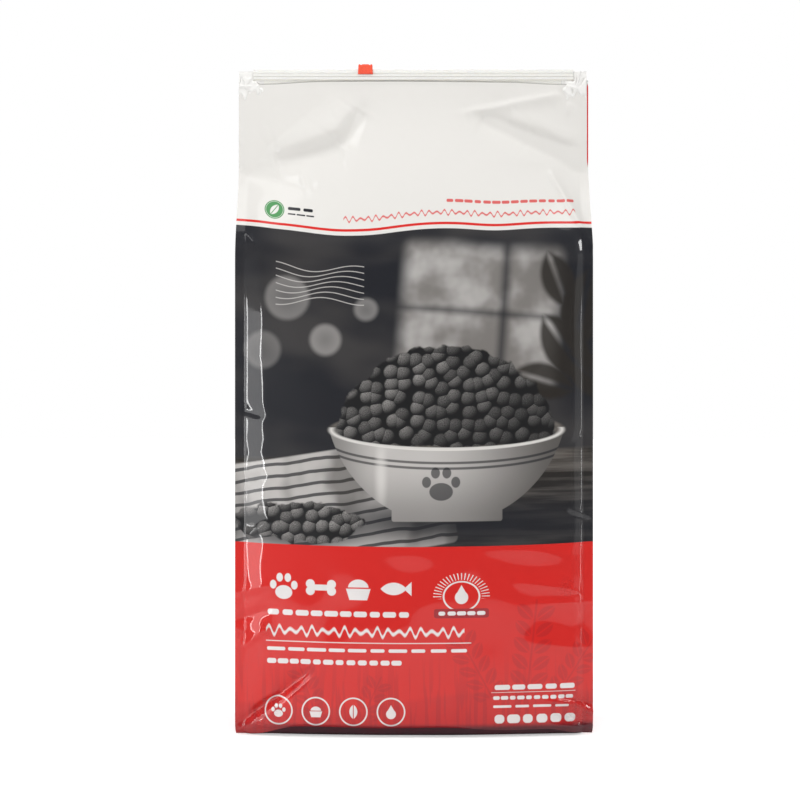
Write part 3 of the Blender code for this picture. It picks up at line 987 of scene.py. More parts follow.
class FrontArtwork(Artwork):
    """The print of the front panel."""

    def paint(self, plan: Plan) -> Field:
        """Return the colour of the front panel.

        Args:
            plan: The plan of the panel.

        Returns:
            The colour at each place.
        """
        inks, layout = self.inks, self.layout
        paint = Paint(plan.tree, inks.white)
        self.picture(plan, paint)
        paint.mark(plan.z - layout.band_top, self.band(plan))
        paint.mark(abs(plan.z - layout.line) - 0.0014, inks.red)
        self.heading(plan, paint)
        self.band_print(plan, paint)
        # Painted shade: the front panel darkens towards its foot, where the film turns under the bag.
        painted_foot_shade = plan.z.ramp(*layout.foot) * plan.x.ramp(*layout.foot_left, 0.3, 1.0)
        paint.lay(painted_foot_shade, inks.base, 0.92)
        # Painted shade: a thin grey line along the film's upper edge, where the zip band above shades it.
        paint.lay(plan.z.ramp(layout.film_top - 0.0011, layout.film_top - 0.0005), inks.taupe, 0.6)
        return paint.colour

    def kibble(self, plan: Plan, pitch: float) -> Field:
        """Return the colour of a heap of food pieces about one pitch apart.

        Args:
            plan: The plan of the panel.
            pitch: How far apart the pieces are.

        Returns:
            The colour at each place.
        """
        inks = self.inks
        distance, lit, own = plan.pebbles(pitch)
        paint = Paint(plan.tree, inks.kibble_dark)
        body = distance.ramp(0.68, 0.54)
        paint.lay(body * lit.ramp(-0.1, 1.0) * own.ramp(0.0, 1.0, 0.4, 1.0), inks.kibble_light)
        paint.lay(body * lit.ramp(0.72, 1.05) * own.ramp(0.2, 0.9, 0.1, 0.7), inks.cream, 0.75)
        crumb = plan.noise(900.0, 3.0)
        paint.lay(body * crumb.ramp(0.56, 0.7), inks.kibble_dark, 0.6)
        paint.lay(body * crumb.ramp(0.42, 0.3) * lit.ramp(0.2, 1.0), inks.cream, 0.35)
        return paint.colour

    def picture(self, plan: Plan, paint: Paint) -> None:
        """Print the charcoal picture: a bowl of food on a striped cloth, before a window out of focus.

        Args:
            plan: The plan of the panel.
            paint: The layers so far.
        """
        inks = self.inks
        picture = Paint(plan.tree, inks.charcoal)
        picture.lay(plan.noise(7.0, 2.0, (1.0, 2.0)).ramp(0.4, 0.72), inks.taupe, 0.22)
        pane = plan.moved((0.098, 0.452), turn=-4.0)
        window = pane.slab((-0.108, -0.085), (0.052, 0.052), 0.006).inside(0.011)
        panes = Paint(plan.tree, inks.cream)
        panes.lay(plan.noise(16.0, 3.0).ramp(0.35, 0.66), inks.taupe, 0.75)
        panes.lay((abs(pane.x + 0.004) - 0.004).inside(0.006), inks.charcoal, 0.8)
        panes.lay((abs(pane.z + 0.018) - 0.003).inside(0.005), inks.charcoal, 0.7)
        picture.lay(window, panes.colour, 0.8)
        leaves = [
            Motif.LEAF.at(plan, at, size, turn)
            for at, size, turn in (
                ((0.158, 0.4), 0.05, 35.0), ((0.176, 0.44), 0.052, -12.0), ((0.135, 0.366), 0.04, 74.0),
                ((0.186, 0.372), 0.044, 52.0), ((0.15, 0.47), 0.038, 20.0),
            )
        ]
        picture.lay(union(*leaves).inside(0.0035), inks.umber, 0.92)
        for at, radius, strength in (((-0.132, 0.452), 0.023, 0.3), ((-0.092, 0.408), 0.016, 0.42),
                                     ((-0.158, 0.398), 0.019, 0.22), ((-0.05, 0.44), 0.012, 0.36)):
            glow = plan.disc(at, radius)
            picture.lay(glow.inside(0.0035) * glow.ramp(-radius, 0.0, 0.7, 1.0), inks.cream, strength)
        for k in range(7):
            wave = plan.z - 0.486 + 0.0062 * k - (plan.x * 74.0 + 0.4 * k).math("SINE") * 0.0042
            span = abs(plan.x + 0.098) - 0.046
            picture.lay((abs(wave) - 0.0005).math("MAXIMUM", span).inside(0.0003), inks.cream, 0.85)
        table = (plan.z - 0.292 - plan.x * 0.03).inside(0.0025)
        boards = Paint(plan.tree, inks.umber)
        boards.lay(plan.noise(22.0, 4.0, (0.35, 5.0)).ramp(0.35, 0.7), inks.taupe, 0.9)
        boards.lay(plan.z.ramp(0.3, 0.215), inks.charcoal, 0.65)
        picture.lay(table, boards.colour)
        cloth = plan.moved((-0.08, 0.246), turn=9.0)
        fabric = Paint(plan.tree, inks.cream)
        folds = plan.noise(20.0, 2.0, (1.0, 0.6))
        stripe = ((cloth.z + folds * 0.008) / 0.0118).math("FRACT")
        fabric.lay(abs(stripe - 0.5).ramp(0.33, 0.39), inks.charcoal, 0.85)
        fabric.lay(folds.ramp(0.42, 0.66), inks.umber, 0.55)
        fabric.lay(cloth.x.ramp(-0.1, 0.14), inks.umber, 0.35)
        picture.lay(cloth.slab((-0.135, -0.06), (0.118, 0.05), 0.006).inside(0.0012), fabric.colour)
        self.bowl(plan, picture)
        spill = plan.oval((-0.122, 0.222), 0.066, 0.02) + plan.noise(60.0) * 0.014 - 0.007
        picture.lay(plan.oval((-0.118, 0.214), 0.075, 0.02).ramp(0.004, -0.01), inks.charcoal, 0.7)
        picture.lay(spill.inside(0.001), self.kibble(plan, 0.0125))
        corner = plan.disc((-0.01, 0.36), 0.0).ramp(0.15, 0.3)
        picture.lay(corner, inks.charcoal, 0.55)
        paint.mark(plan.z - self.layout.picture_top, picture.colour)

    def bowl(self, plan: Plan, picture: Paint) -> None:
        """Print the bowl and the heap in it.

        Args:
            plan: The plan of the panel.
            picture: The layers of the picture so far.
        """
        inks = self.inks
        bowl = plan.moved((0.034, 0.316), size=0.122)
        picture.lay(bowl.oval((0.1, -0.74), 1.15, 0.16).ramp(0.1, -0.12), inks.charcoal, 0.9)
        picture.lay(bowl.oval((0.0, 0.0), 1.0, 0.17).inside(0.006), inks.taupe)
        uneven = plan.noise(55.0) * 0.12 - 0.06
        above = (bowl.z * -1.0) - 0.12
        heap = (bowl.oval((0.0, -0.1), 0.93, 0.8) + uneven).math("MAXIMUM", above)
        mound = union(heap, bowl.oval((0.0, -0.01), 0.92, 0.13) + uneven * 0.5)
        shade = bowl.x.ramp(-0.9, 1.0, 1.0, 0.4) * bowl.z.ramp(-0.2, 0.5, 0.6, 1.0)
        picture.lay(mound.inside(0.012), inks.kibble_dark)
        picture.lay(mound.inside(0.012) * shade, self.kibble(plan, 0.0132))
        round_off = (bowl.x * bowl.x * -1.0 + 1.0).math("MAXIMUM", 0.0).math("SQRT")
        wall = bowl.disc((0.0, 0.27), 1.035).math("MAXIMUM", bowl.z + round_off * 0.16)
        wall = wall.math("MAXIMUM", bowl.z * -1.0 - 0.66 - round_off * 0.03)
        foot = bowl.slab((-0.47, -0.745), (0.47, -0.6), 0.02)
        glaze = Paint(plan.tree, inks.cream)
        glaze.lay(bowl.x.ramp(-0.2, 1.0), inks.umber, 0.85)
        glaze.lay(bowl.x.ramp(-0.5, -1.02), inks.umber, 0.6)
        glaze.lay(bowl.z.ramp(-0.25, -0.75), inks.umber, 0.5)
        depth = bowl.z + round_off * 0.17
        for level in (-0.1, -0.145):
            glaze.lay((abs(depth - level) - 0.01).inside(0.004), inks.charcoal, 0.75)
        emblem = Motif.PAW.shape(bowl.moved((-0.05, -0.44), 0.2, flat=0.9)) * 0.2
        glaze.lay(emblem.inside(0.004), inks.charcoal, 0.75)
        glaze.lay(bowl.oval((-0.56, -0.36), 0.045, 0.25).ramp(0.03, -0.04), inks.white, 0.6)
        picture.lay(union(wall, foot).inside(0.004), glaze.colour)
        outer, inner = bowl.oval((0.0, 0.0), 1.0, 0.17), bowl.oval((0.0, 0.003), 0.965, 0.146)
        front = bowl.z - 0.02
        rim = outer.math("MAXIMUM", inner * -1.0).math("MAXIMUM", front)
        picture.lay(rim.inside(0.004), inks.white, 0.9)

    def sprig(self, plan: Plan, at: Place, size: float, turn: float) -> Field:
        """Return the signed distance to a leafy sprig.

        Args:
            plan: The plan of the panel.
            at: Its foot.
            size: Its length.
            turn: How far it is turned, in degrees.

        Returns:
            The distance, below zero inside.
        """
        stem, pitch, leaf_size = plan.moved(at, size, turn), 0.19, 0.15
        up = ((stem.z / pitch).math("FRACT") - 0.5) * pitch
        half = Plan(plan.tree, plan.flat_map, abs(stem.x), up)
        leaf = Motif.LEAF.at(half, (0.12, 0.0), leaf_size, -50.0)
        leaves = leaf.math("MAXIMUM", abs(stem.z - 0.5) - 0.46)
        return union(stem.slab((-0.012, 0.0), (0.012, 1.0), 0.01), leaves) * size

    def band(self, plan: Plan) -> Field:
        """Return the colour of the red band with its faint sprigs and grasses.

        Args:
            plan: The plan of the panel.

        Returns:
            The colour at each place.
        """
        inks = self.inks
        paint = Paint(plan.tree, inks.red)
        blades = plan.noise(70.0, 2.0, (2.4, 0.16)).ramp(0.5, 0.6)
        paint.lay(blades * plan.z.ramp(0.105, 0.02), inks.deep_red, 0.4)
        for at, size, turn in (((0.118, 0.052), 0.092, -6.0), ((0.082, 0.04), 0.08, 28.0),
                               ((0.15, 0.044), 0.074, -34.0), ((-0.098, 0.01), 0.07, 18.0),
                               ((-0.06, 0.006), 0.064, -24.0)):
            paint.lay(self.sprig(plan, at, size, turn).inside(0.0008), inks.deep_red, 0.34)
        hill = plan.z - 0.04 - (plan.x * 14.0).math("SINE") * 0.01
        paint.lay(hill.inside(0.004), inks.deep_red, 0.2)
        paint.lay(plan.z.ramp(0.04, 0.0), inks.deep_red, 0.3)
        return paint.colour

    def heading(self, plan: Plan, paint: Paint) -> None:
        """Print the roundel and the two rows of marks over the picture.

        Args:
            plan: The plan of the panel.
            paint: The layers so far.
        """
        inks, right, middle = self.inks, self.layout.right, (-0.147, 0.547)
        roundel = plan.disc(middle, 0.0105)
        leaf = Motif.LEAF.shape(plan.moved(middle, 0.0085, turn=-35.0))
        paint.mark(roundel, inks.green)
        paint.lay(plan.ring(middle, 0.0092, 0.0004).inside(0.0002), inks.white)
        paint.lay(leaf.inside(0.04), inks.white)
        paint.mark(plan.dashes(-0.1335, -0.104, 0.5495, 0.0034, 0.0148, 3.0), inks.charcoal)
        paint.mark(plan.dashes(-0.1335, -0.104, 0.5435, 0.0016, 0.0098, 5.0), inks.charcoal)
        paint.mark(plan.dashes(0.033, right, 0.556, 0.0034, 0.0098, 1.0), inks.red, 0.85)
        curls = plan.wave(-0.074, right, 0.543, 0.003, 0.008, 0.0008)
        paint.lay(curls.inside(0.0003), inks.red, 0.85)

    def band_print(self, plan: Plan, paint: Paint) -> None:
        """Print the motifs, marks, badge and rings of the red band.

        Args:
            plan: The plan of the panel.
            paint: The layers so far.
        """
        inks, left = self.inks, self.layout.left
        shapes = []
        for k, motif in enumerate((Motif.PAW, Motif.BONE, Motif.BOWL, Motif.FISH)):
            at = (left + 0.0185 + 0.0388 * k, 0.157)
            shapes.append(motif.at(plan, at, 0.0178).inside())
        rows = (
            plan.dashes(left, left + 0.151, 0.13, 0.0058, 0.0151, 11.0),
            plan.wave(left, left + 0.206, 0.1112, 0.005, 0.0113, 0.0013),
            plan.slab((left, 0.0994), (left + 0.213, 0.1003)),
            plan.dashes(left, left + 0.211, 0.0918, 0.0036, 0.0211, 13.0),
            plan.dashes(left, left + 0.141, 0.079, 0.0052, 0.0118, 14.0),
            plan.dashes(0.083, 0.168, 0.0525, 0.0052, 0.017, 15.0),
            plan.slab((0.08, 0.047), (0.168, 0.0475)),
            plan.dashes(0.081, 0.166, 0.0415, 0.0038, 0.0085, 16.0),
            plan.dashes(0.081, 0.164, 0.0325, 0.0026, 0.0208, 17.0),
            plan.dashes(0.081, 0.17, 0.0195, 0.009, 0.0148, 18.0),
        )
        shapes += [row.inside() for row in rows]
        for mask in shapes:
            paint.lay(mask, inks.lettering)
        self.badge(plan, paint)
        for k, motif in enumerate((Motif.PAW, Motif.BOWL, Motif.LEAF, Motif.DROP)):
            at = (-0.141 + 0.039 * k, 0.0275)
            icon = plan.moved(at, 0.015)
            paint.lay((icon.ring((0.0, 0.0), 0.94, 0.1) * 0.015).inside(0.0003), inks.lettering)
            paint.lay(motif.at(plan, at, 0.0092).inside(0.0003), inks.lettering)

    def badge(self, plan: Plan, paint: Paint) -> None:
        """Print the badge: a drop in a ring with sun rays over it and a ribbon under it.

        Args:
            plan: The plan of the panel.
            paint: The layers so far.
        """
        inks, size = self.inks, 0.03
        badge = plan.moved((0.049, 0.149), size, flat=0.82)
        angle = badge.z.math("ARCTAN2", badge.x)
        rays = (angle * 22.0).math("SINE").math("ABSOLUTE") - 0.45
        radius = badge.disc((0.0, 0.0), 0.0)
        upper = badge.z * -1.0 - 0.1
        sun = rays.math("MAXIMUM", radius - 0.98).math("MAXIMUM", radius * -1.0 + 0.7)
        sun = sun.math("MAXIMUM", upper)
        paint.mark(sun * size, inks.lettering, 0.9)
        paint.mark(badge.ring((0.0, 0.0), 0.62, 0.06) * size, inks.lettering)
        paint.mark(Motif.DROP.at(plan, (0.049, 0.151), 0.0125), inks.lettering)
        ribbon = badge.moved((0.0, -0.72), 1.0).slab((-0.95, -0.2), (0.95, 0.2), 0.1)
        paint.mark(ribbon * size, inks.deep_red)
        paint.mark(badge.dashes(-0.85, 0.85, -0.72, 0.17, 0.34, 4.0) * size, inks.lettering)


class BackArtwork(Artwork):
    """The print of the back panel: a red field with a pale field of rows and boxes."""

    def paint(self, plan: Plan) -> Field:
        """Return the colour of the back panel.

        Args:
            plan: The plan of the panel.

        Returns:
            The colour at each place.
        """
        inks, layout = self.inks, self.layout
        paint = Paint(plan.tree, inks.white)
        paint.mark(plan.z - layout.picture_top, inks.charcoal)
        paint.mark(abs(plan.z - layout.line) - 0.0011, inks.red)
        paint.mark(plan.z - 0.45, inks.red)
        paint.mark(plan.z - 0.06, inks.charcoal)
        paint.mark(plan.slab((-0.15, 0.085), (0.15, 0.42), 0.006), inks.white)
        for k, motif in enumerate((Motif.BOWL, Motif.FISH, Motif.BONE, Motif.PAW)):
            at = (-0.111 + 0.074 * k, 0.486)
            paint.mark(motif.at(plan, at, 0.021), inks.lettering)
        for k in range(9):
            level = 0.398 - 0.0115 * k
            paint.mark(plan.dashes(-0.138, 0.138, level, 0.0036, 0.0197, 31.0 + k), inks.charcoal)
        grid = plan.slab((-0.138, 0.112), (0.02, 0.276), 0.001)
        paint.mark(abs(grid) - 0.0005, inks.charcoal)
        rules = abs((plan.z / 0.0164).math("FRACT") - 0.5) * -0.0164 + 0.0079
        paint.mark(rules.math("MAXIMUM", grid), inks.charcoal)
        for k in range(3):
            at = (0.085, 0.252 - 0.058 * k)
            paint.mark(plan.ring(at, 0.022, 0.002), inks.red)
            motif = (Motif.DROP, Motif.LEAF, Motif.PAW)[k]
            paint.mark(motif.at(plan, at, 0.012), inks.red)
        return paint.colour


class GussetArtwork(Artwork):
    """The print of a side gusset: red, with a column of ringed motifs over rows of dashes."""

    def paint(self, plan: Plan) -> Field:
        """Return the colour of a gusset.

        Args:
            plan: The plan of the panel.

        Returns:
            The colour at each place.
        """
        inks = self.inks
        paint = Paint(plan.tree, inks.red)
        paint.lay(plan.z.ramp(0.06, 0.0), inks.deep_red, 0.5)
        for k, motif in enumerate((Motif.PAW, Motif.BONE, Motif.BOWL, Motif.FISH, Motif.LEAF)):
            at = (0.0, 0.42 - 0.072 * k)
            paint.mark(plan.ring(at, 0.023, 0.0016), inks.lettering)
            paint.mark(motif.at(plan, at, 0.0135), inks.lettering)
        for k in range(4):
            row = plan.dashes(-0.042, 0.042, 0.082 - 0.01 * k, 0.0036, 0.0168, 51.0 + k)
            paint.mark(row, inks.lettering)
        return paint.colour


class BaseArtwork(Artwork):
    """The plain dark print of the bottom panel."""

    def paint(self, plan: Plan) -> Field:
        """Return the colour of the bottom panel.

        Args:
            plan: The plan of the panel.

        Returns:
            The colour at each place.
        """
        paint = Paint(plan.tree, self.inks.base)
        paint.lay(plan.noise(30.0).ramp(0.4, 0.7), self.inks.charcoal, 0.25)
        return paint.colour


# Finishes


@dataclass(frozen=True)
class LaminatedFilm:
    """Printed film under a glossy clear layer.

    Attributes:
        roughness: The roughness of the ink.
        gloss: The roughness of the clear layer.
        coat: How much of it there is.
        ripple: The height of its slow waves.
        grain: The height of its finest unevenness.
        weld: The height of the pattern that the welding jaws press in.
        wrinkle: The height of the fine wrinkles where the film was crushed.
    """

    roughness: float = 0.42
    gloss: float = 0.045
    coat: float = 1.0
    ripple: float = 0.00016
    grain: float = 0.00001
    weld: float = 0.00004
    wrinkle: float = 0.00035

    def material(
        self, name: str, artwork: Artwork, width: float, height: float, seam: float,
        wrinkled: tuple[tuple[float, float, float], ...] = (),
    ) -> bpy.types.Material:
        """Make the material of one panel.

        Args:
            name: The material's name.
            artwork: What paints it.
            width: The flat width of the panel.
            height: Its flat height.
            seam: How far the welds start from its middle.
            wrinkled: The middles and radii of the finely wrinkled places.

        Returns:
            The material.
        """
        made, shader = plastic(name, self.roughness)
        shader.inputs["Specular IOR Level"].default_value = 0.2
        shader.inputs["Coat Weight"].default_value = self.coat
        shader.inputs["Coat Roughness"].default_value = self.gloss
        plan = Plan.of_panel(made.node_tree, width, height)
        connect(plan.tree, artwork.paint(plan), shader.inputs["Base Color"])
        relief = plan.noise(24.0, 2.0, (1.3, 0.8)) * self.ripple + plan.noise(900.0, 1.0) * self.grain
        if seam:
            lines = ((plan.x + plan.z) * 3100.0).math("SINE") * ((plan.x - plan.z) * 3100.0).math("SINE")
            relief = relief + lines * (abs(plan.x) - seam).ramp(0.0, 0.0006) * self.weld
        if wrinkled:
            crushed = union(*(plan.disc((x, z), radius) for x, z, radius in wrinkled)).ramp(0.004, -0.009)
            coarse = abs(plan.noise(150.0, 1.0) - 0.5).ramp(0.13, 0.0)
            fine = abs(plan.noise(260.0, 1.0) - 0.5).ramp(0.12, 0.0)
            relief = relief + (coarse + fine) * crushed * self.wrinkle
        bump(made, shader, relief)
        return made


@dataclass(frozen=True)
class MouldedPlastic:
    """Plain plastic as it comes from its mould or die.

    Attributes:
        colour: Its colour.
        roughness: How rough it is.
        depth: How much light goes into it.
        flow: How uneven its surface is, in metres.
        fine: How many marks there are to a metre.
        drawn: How much finer the marks are across than along.
        lines: How far under the top its lines of painted shade in the grooves are.
        yellowed: How far under the top it turns warmer.
    """

    colour: Colour
    roughness: float
    depth: float
    flow: float
    fine: float
    drawn: float = 1.0
    lines: tuple[float, ...] = ()
    yellowed: float = 1.0

    def material(self, name: str, top: float = 0.0) -> bpy.types.Material:
        """Make the material.

        Args:
            name: The material's name.
            top: The height of the piece's top.

        Returns:
            The material.
        """
        made, shader = plastic(name, self.roughness)
        tree = made.node_tree
        where = tree.nodes.new("ShaderNodeTexCoord")
        stretched = Plan.vector(tree, "MULTIPLY", where.outputs["Object"], (1.0, self.drawn, self.drawn))
        node = tree.nodes.new("ShaderNodeTexNoise")
        tree.links.new(stretched.socket, node.inputs["Vector"])
        node.inputs["Scale"].default_value = self.fine
        marks = Field(tree, node.outputs[0])
        paint = Paint(tree, self.colour)
        paint.lay(marks.ramp(0.3, 0.8), tuple(0.86 * c for c in self.colour))
        if self.lines:
            under = Plan.vector(tree, "DOT_PRODUCT", where.outputs["Object"], (0.0, 0.0, -1.0)) + top
            paint.lay(under.ramp(self.yellowed - 0.0003, self.yellowed + 0.0003), (0.96, 0.94, 0.87), 0.8)
            # Painted shade: thin darker lines where the grooves between the zip's ribs lie.
            painted_groove_shade = union(*(abs(under - line) - 0.0003 for line in self.lines))
            paint.lay(painted_groove_shade.ramp(0.00025, -0.0001), (0.45, 0.42, 0.36), 0.62)
        connect(tree, paint.colour, shader.inputs["Base Color"])
        shader.inputs["Subsurface Weight"].default_value = self.depth
        shader.inputs["Subsurface Radius"].default_value = (0.004, 0.003, 0.002)
        shader.inputs["Subsurface Scale"].default_value = 1.0
        bump(made, shader, marks * self.flow)
        return made


def plastic(name: str, roughness: float) -> tuple[bpy.types.Material, bpy.types.Node]:
    """Start a plastic material.

    Args:
        name: The material's name.
        roughness: How rough it is.

    Returns:
        The material and its shader.
    """
    made = bpy.data.materials.new(name)
    made.use_nodes = True
    shader = made.node_tree.nodes["Principled BSDF"]
    shader.inputs["Roughness"].default_value = roughness
    return made, shader


def bump(made: bpy.types.Material, shader: bpy.types.Node, relief: Field) -> None:
    """Give a material a relief in metres.

    Args:
        made: The material.
        shader: Its shader.
        relief: The height at each place.
    """
    node = made.node_tree.nodes.new("ShaderNodeBump")
    node.inputs["Distance"].default_value = 1.0
    connect(made.node_tree, relief, node.inputs["Height"])
    made.node_tree.links.new(node.outputs[0], shader.inputs["Normal"])


# Meshes


def mesh_object(name: str, points: np.ndarray, faces: list[tuple[int, ...]], material: bpy.types.Material,
                flat: np.ndarray | None = None) -> bpy.types.Object:
    """Make a smooth object from points and faces.

    Args:
        name: The object's name.
        points: Its points, one row each.
        faces: Its faces, as indices of points.
        material: Its finish.
        flat: The place of each point on the flat map, if it has one.

    Returns:
        The object, linked to the scene.
    """
    mesh = bpy.data.meshes.new(name)
    mesh.from_pydata(points.tolist(), [], faces)
    mesh.materials.append(material)
    if flat is not None:
        layer = mesh.uv_layers.new(name=FLAT_MAP)
        corners = np.empty(len(mesh.loops), dtype=np.int32)
        mesh.loops.foreach_get("vertex_index", corners)
        layer.data.foreach_set("uv", flat[corners].astype(np.float32).ravel())
    mesh.shade_smooth()
    made = bpy.data.objects.new(name, mesh)
    bpy.context.scene.collection.objects.link(made)
    return made


def grid_faces(rows: int, columns: int, closed: bool = False) -> list[tuple[int, ...]]:
    """Return the faces of a grid of points, which may close round on itself across.

    Args:
        rows: How many rows of points it has.
        columns: How many columns.
        closed: Whether its last column meets its first.

    Returns:
        The faces, as indices of points.
    """
    faces = []
    for low in range(0, (rows - 1) * columns, columns):
        for j in range(columns if closed else columns - 1):
            beside = (j + 1) % columns
            faces.append((low + j, low + beside, low + columns + beside, low + columns + j))
    return faces


def grid_object(
    name: str, points: np.ndarray, flat: np.ndarray, material: bpy.types.Material
) -> bpy.types.Object:
    """Make an object from a grid of points and its flat map."""
    rows, columns = points.shape[:2]
    return mesh_object(name, points.reshape(-1, 3), grid_faces(rows, columns), material, flat.reshape(-1, 2))


def turned(points: np.ndarray) -> np.ndarray:
    """Return points turned half round about the upright axis."""
    return points * np.array((-1.0, -1.0, 1.0))


def attach(piece: bpy.types.Object, body: str, slot: str, *nodes: str) -> None:
    """Tie a piece to its body, and hide the solids that it stands for.

    Args:
        piece: The piece.
        body: The body that it moves with.
        slot: Not used.
        nodes: The solids that it stands for.
    """
    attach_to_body(piece, body)
    if nodes:
        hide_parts(*nodes)
    LOG.info("%s: %d points", piece.name, len(piece.data.vertices))


@dataclass
class Pouch:
    """The film of the bag: front and back panels, side gussets, base and the welded ends of the zip.

    Attributes:
        form: The shape of the filled bag.
        film: The finish of the film.
        pitch: How far apart the points of the film are.
        layer: How far apart two welded layers are.
        lift: How high the middle of a panel's lower edge stands over the floor.
        lift_ends: How far from the middle that rise ends at the left and right, and how long it takes.
        slump: How far the front film hangs lower at its left than it was printed to.
        sag: How far its middle hangs lower beside the filling.
        slump_band: The middle height of that place, and how far it spreads.
        sag_band: The same for the sag.
        lobes: How much of the slump there is round a place across the panel, and how far it spreads.
        drops: How much of it is missing beyond a place, and in what width.
        edge_band: How far down the film's upper edge is uneven.
        gusset_dip: How far the folded gusset hangs under that edge.
        sliver: How far the gusset stands out past the front film beside the zip, at the right.
        sliver_foot: The height where that starts, and the height that it takes.
        sliver_top: The height where it has ended, and the height that it takes.
        end_width: How wide the crumpled film over an end of the zip is.
        end_drop: How far that film reaches down under the film's upper edge.
        end_grid: How many rows and columns of points that film has.
        end_folds: How many small folds it has on each face.
        end_crumple: How many times higher than drawn they are.
        slider_end: How far from the middle of the bag the slider can reach.
        base_depth: The flat depth of the bottom panel's print.
        panels: The points of the panels that are built, which the next ones meet.
        seeds: What the first uneven movement of each panel is drawn from.
        panel_settler: How the front and back panels settle.
        gusset_settler: How the gussets settle.
        front_shape: The creases and waves of the front panel.
        back_shape: The same for the back panel.
        gusset_folds: The folds of a side gusset, as places across it and up.
        wrinkled: The middles and radii of the places where the front film is finely wrinkled.
    """

    form: PouchForm
    film: LaminatedFilm = LaminatedFilm()
    pitch: float = 0.002
    layer: float = 0.00045
    lift: float = 0.0102
    lift_ends: tuple[Place, Place] = ((0.176, 0.056), (0.18, 0.044))
    slump: float = 0.01
    sag: float = 0.0045
    slump_band: Place = (0.53, 0.065)
    sag_band: Place = (0.175, 0.11)
    lobes: tuple[Point, ...] = ((1.0, -0.07, 0.062), (0.32, 0.085, 0.035))
    drops: tuple[Point, ...] = ((0.3, -0.14, 0.05), (0.09, -0.03, 0.04))
    edge_band: float = 0.012
    gusset_dip: float = 0.0085
    sliver: float = 0.0014
    sliver_foot: Place = (0.59, 0.014)
    sliver_top: Place = (0.687, 0.006)
    end_width: float = 0.0275
    end_drop: float = 0.021
    end_grid: tuple[int, int] = (68, 48)
    end_folds: int = 16
    end_crumple: float = 1.9
    slider_end: float = 0.1718
    base_depth: float = 0.15
    panels: dict[Face, np.ndarray] = field(default_factory=dict)

    seeds = {Face.FRONT: 11, Face.BACK: 12, Side.RIGHT: 21, Side.LEFT: 22}
    panel_settler = FilmSettler(((16, 60), (8, 80), (4, 70), (2, 40), (1, 20)), 0.2)
    gusset_settler = FilmSettler(((8, 90), (4, 70), (2, 40), (1, 20)), 0.2)
    front_shape = PanelShape(
        creases=crease_rows(
            (-0.148, 0.6, -0.076, 0.616, 0.009, 0.022, 0.7),
            (-0.076, 0.616, -0.054, 0.654, 0.0056, 0.011, 1.0),
            (-0.146, 0.613, -0.082, 0.635, -0.0048, 0.01, 2.2),
            (-0.09, 0.629, -0.068, 0.658, -0.003, 0.009, 1.8),
            (0.104, 0.65, 0.172, 0.622, -0.0036, 0.011, 1.4),
            (0.056, 0.654, 0.106, 0.663, -0.0026, 0.009, 0.4),
            (0.1, 0.663, 0.155, 0.673, -0.0024, 0.009, 0.4),
            (0.072, 0.648, 0.126, 0.625, 0.0058, 0.015, 0.6), (0.118, 0.628, 0.18, 0.6, 0.0066, 0.015, 0.6),
            (0.146, 0.588, 0.184, 0.504, -0.0046, 0.0032, 2.2),
            (-0.172, 0.664, -0.17, 0.646, 0.0016, 0.0022, 1.3),
            (-0.143, 0.672, -0.137, 0.664, 0.0014, 0.0022, 1.3),
            (-0.176, 0.668, -0.146, 0.666, 0.0018, 0.003, 1.5),
            (0.156, 0.68, 0.165, 0.668, 0.0018, 0.0024, 1.3),
            (0.163, 0.67, 0.182, 0.66, 0.0016, 0.0022, 1.3),
            (0.168, 0.664, 0.166, 0.652, -0.0014, 0.0022, 1.3),
            (-0.176, 0.521, -0.157, 0.499, -0.001, 0.0016, 1.2),
            (-0.18, 0.588, -0.104, 0.566, 0.003, 0.007, 2.0),
            (-0.12, 0.588, -0.112, 0.562, -0.0012, 0.003, 1.3),
            (-0.16, 0.025, -0.11, 0.066, 0.0056, 0.0042, 2.4),
            (-0.182, 0.01, -0.16, 0.027, 0.0036, 0.0042, 1.6),
            (-0.169, 0.021, -0.147, 0.039, 0.0036, 0.0042, 1.4),
            (-0.164, 0.034, -0.136, 0.05, -0.0022, 0.0034, 1.3),
            (-0.145, 0.036, -0.138, 0.046, 0.0012, 0.0022, 1.2),
            (0.136, 0.037, 0.166, 0.0335, -0.003, 0.0024, 1.4),
            (0.164, 0.034, 0.186, 0.0225, -0.0034, 0.0024, 1.4),
            (0.15, 0.041, 0.186, 0.03, 0.0026, 0.0026, 1.4),
            (0.184, 0.012, 0.14, 0.022, 0.0026, 0.004, 1.6),
            (0.065, 0.198, 0.165, 0.19, -0.0016, 0.015, 1.2),
            (0.105, 0.16, 0.172, 0.15, -0.0012, 0.008, 1.2),
            (0.13, 0.136, 0.18, 0.138, -0.0011, 0.006, 1.2),
            (0.12, 0.096, 0.182, 0.088, -0.002, 0.008, 1.8),
            (-0.178, 0.148, -0.15, 0.156, -0.0016, 0.005, 1.4),
            (-0.18, 0.118, -0.152, 0.13, 0.0018, 0.0045, 1.6),
            (-0.176, 0.09, -0.156, 0.11, -0.0014, 0.0035, 1.4),
            (-0.176, 0.262, -0.156, 0.268, 0.0012, 0.004, 1.4),
            (-0.172, 0.206, -0.148, 0.222, -0.0016, 0.003, 1.5),
            (-0.178, 0.336, -0.158, 0.33, 0.0014, 0.004, 1.5),
            (0.16, 0.3, 0.182, 0.312, 0.0014, 0.0045, 1.5),
            (0.158, 0.236, 0.182, 0.226, -0.0012, 0.004, 1.5),
        ),
        waves=Waves(3),
        left_roll=Roll(
            (
                (0.0, 0.016), (0.18, 0.02), (0.2, 0.024), (0.214, 0.021), (0.224, 0.034), (0.242, 0.025),
                (0.262, 0.024), (0.286, 0.021), (0.292, 0.018), (0.306, 0.023), (0.48, 0.02),
            )
        ),
        right_roll=Roll(((0.0, 0.012), (0.25, 0.014), (0.48, 0.013))),
    )
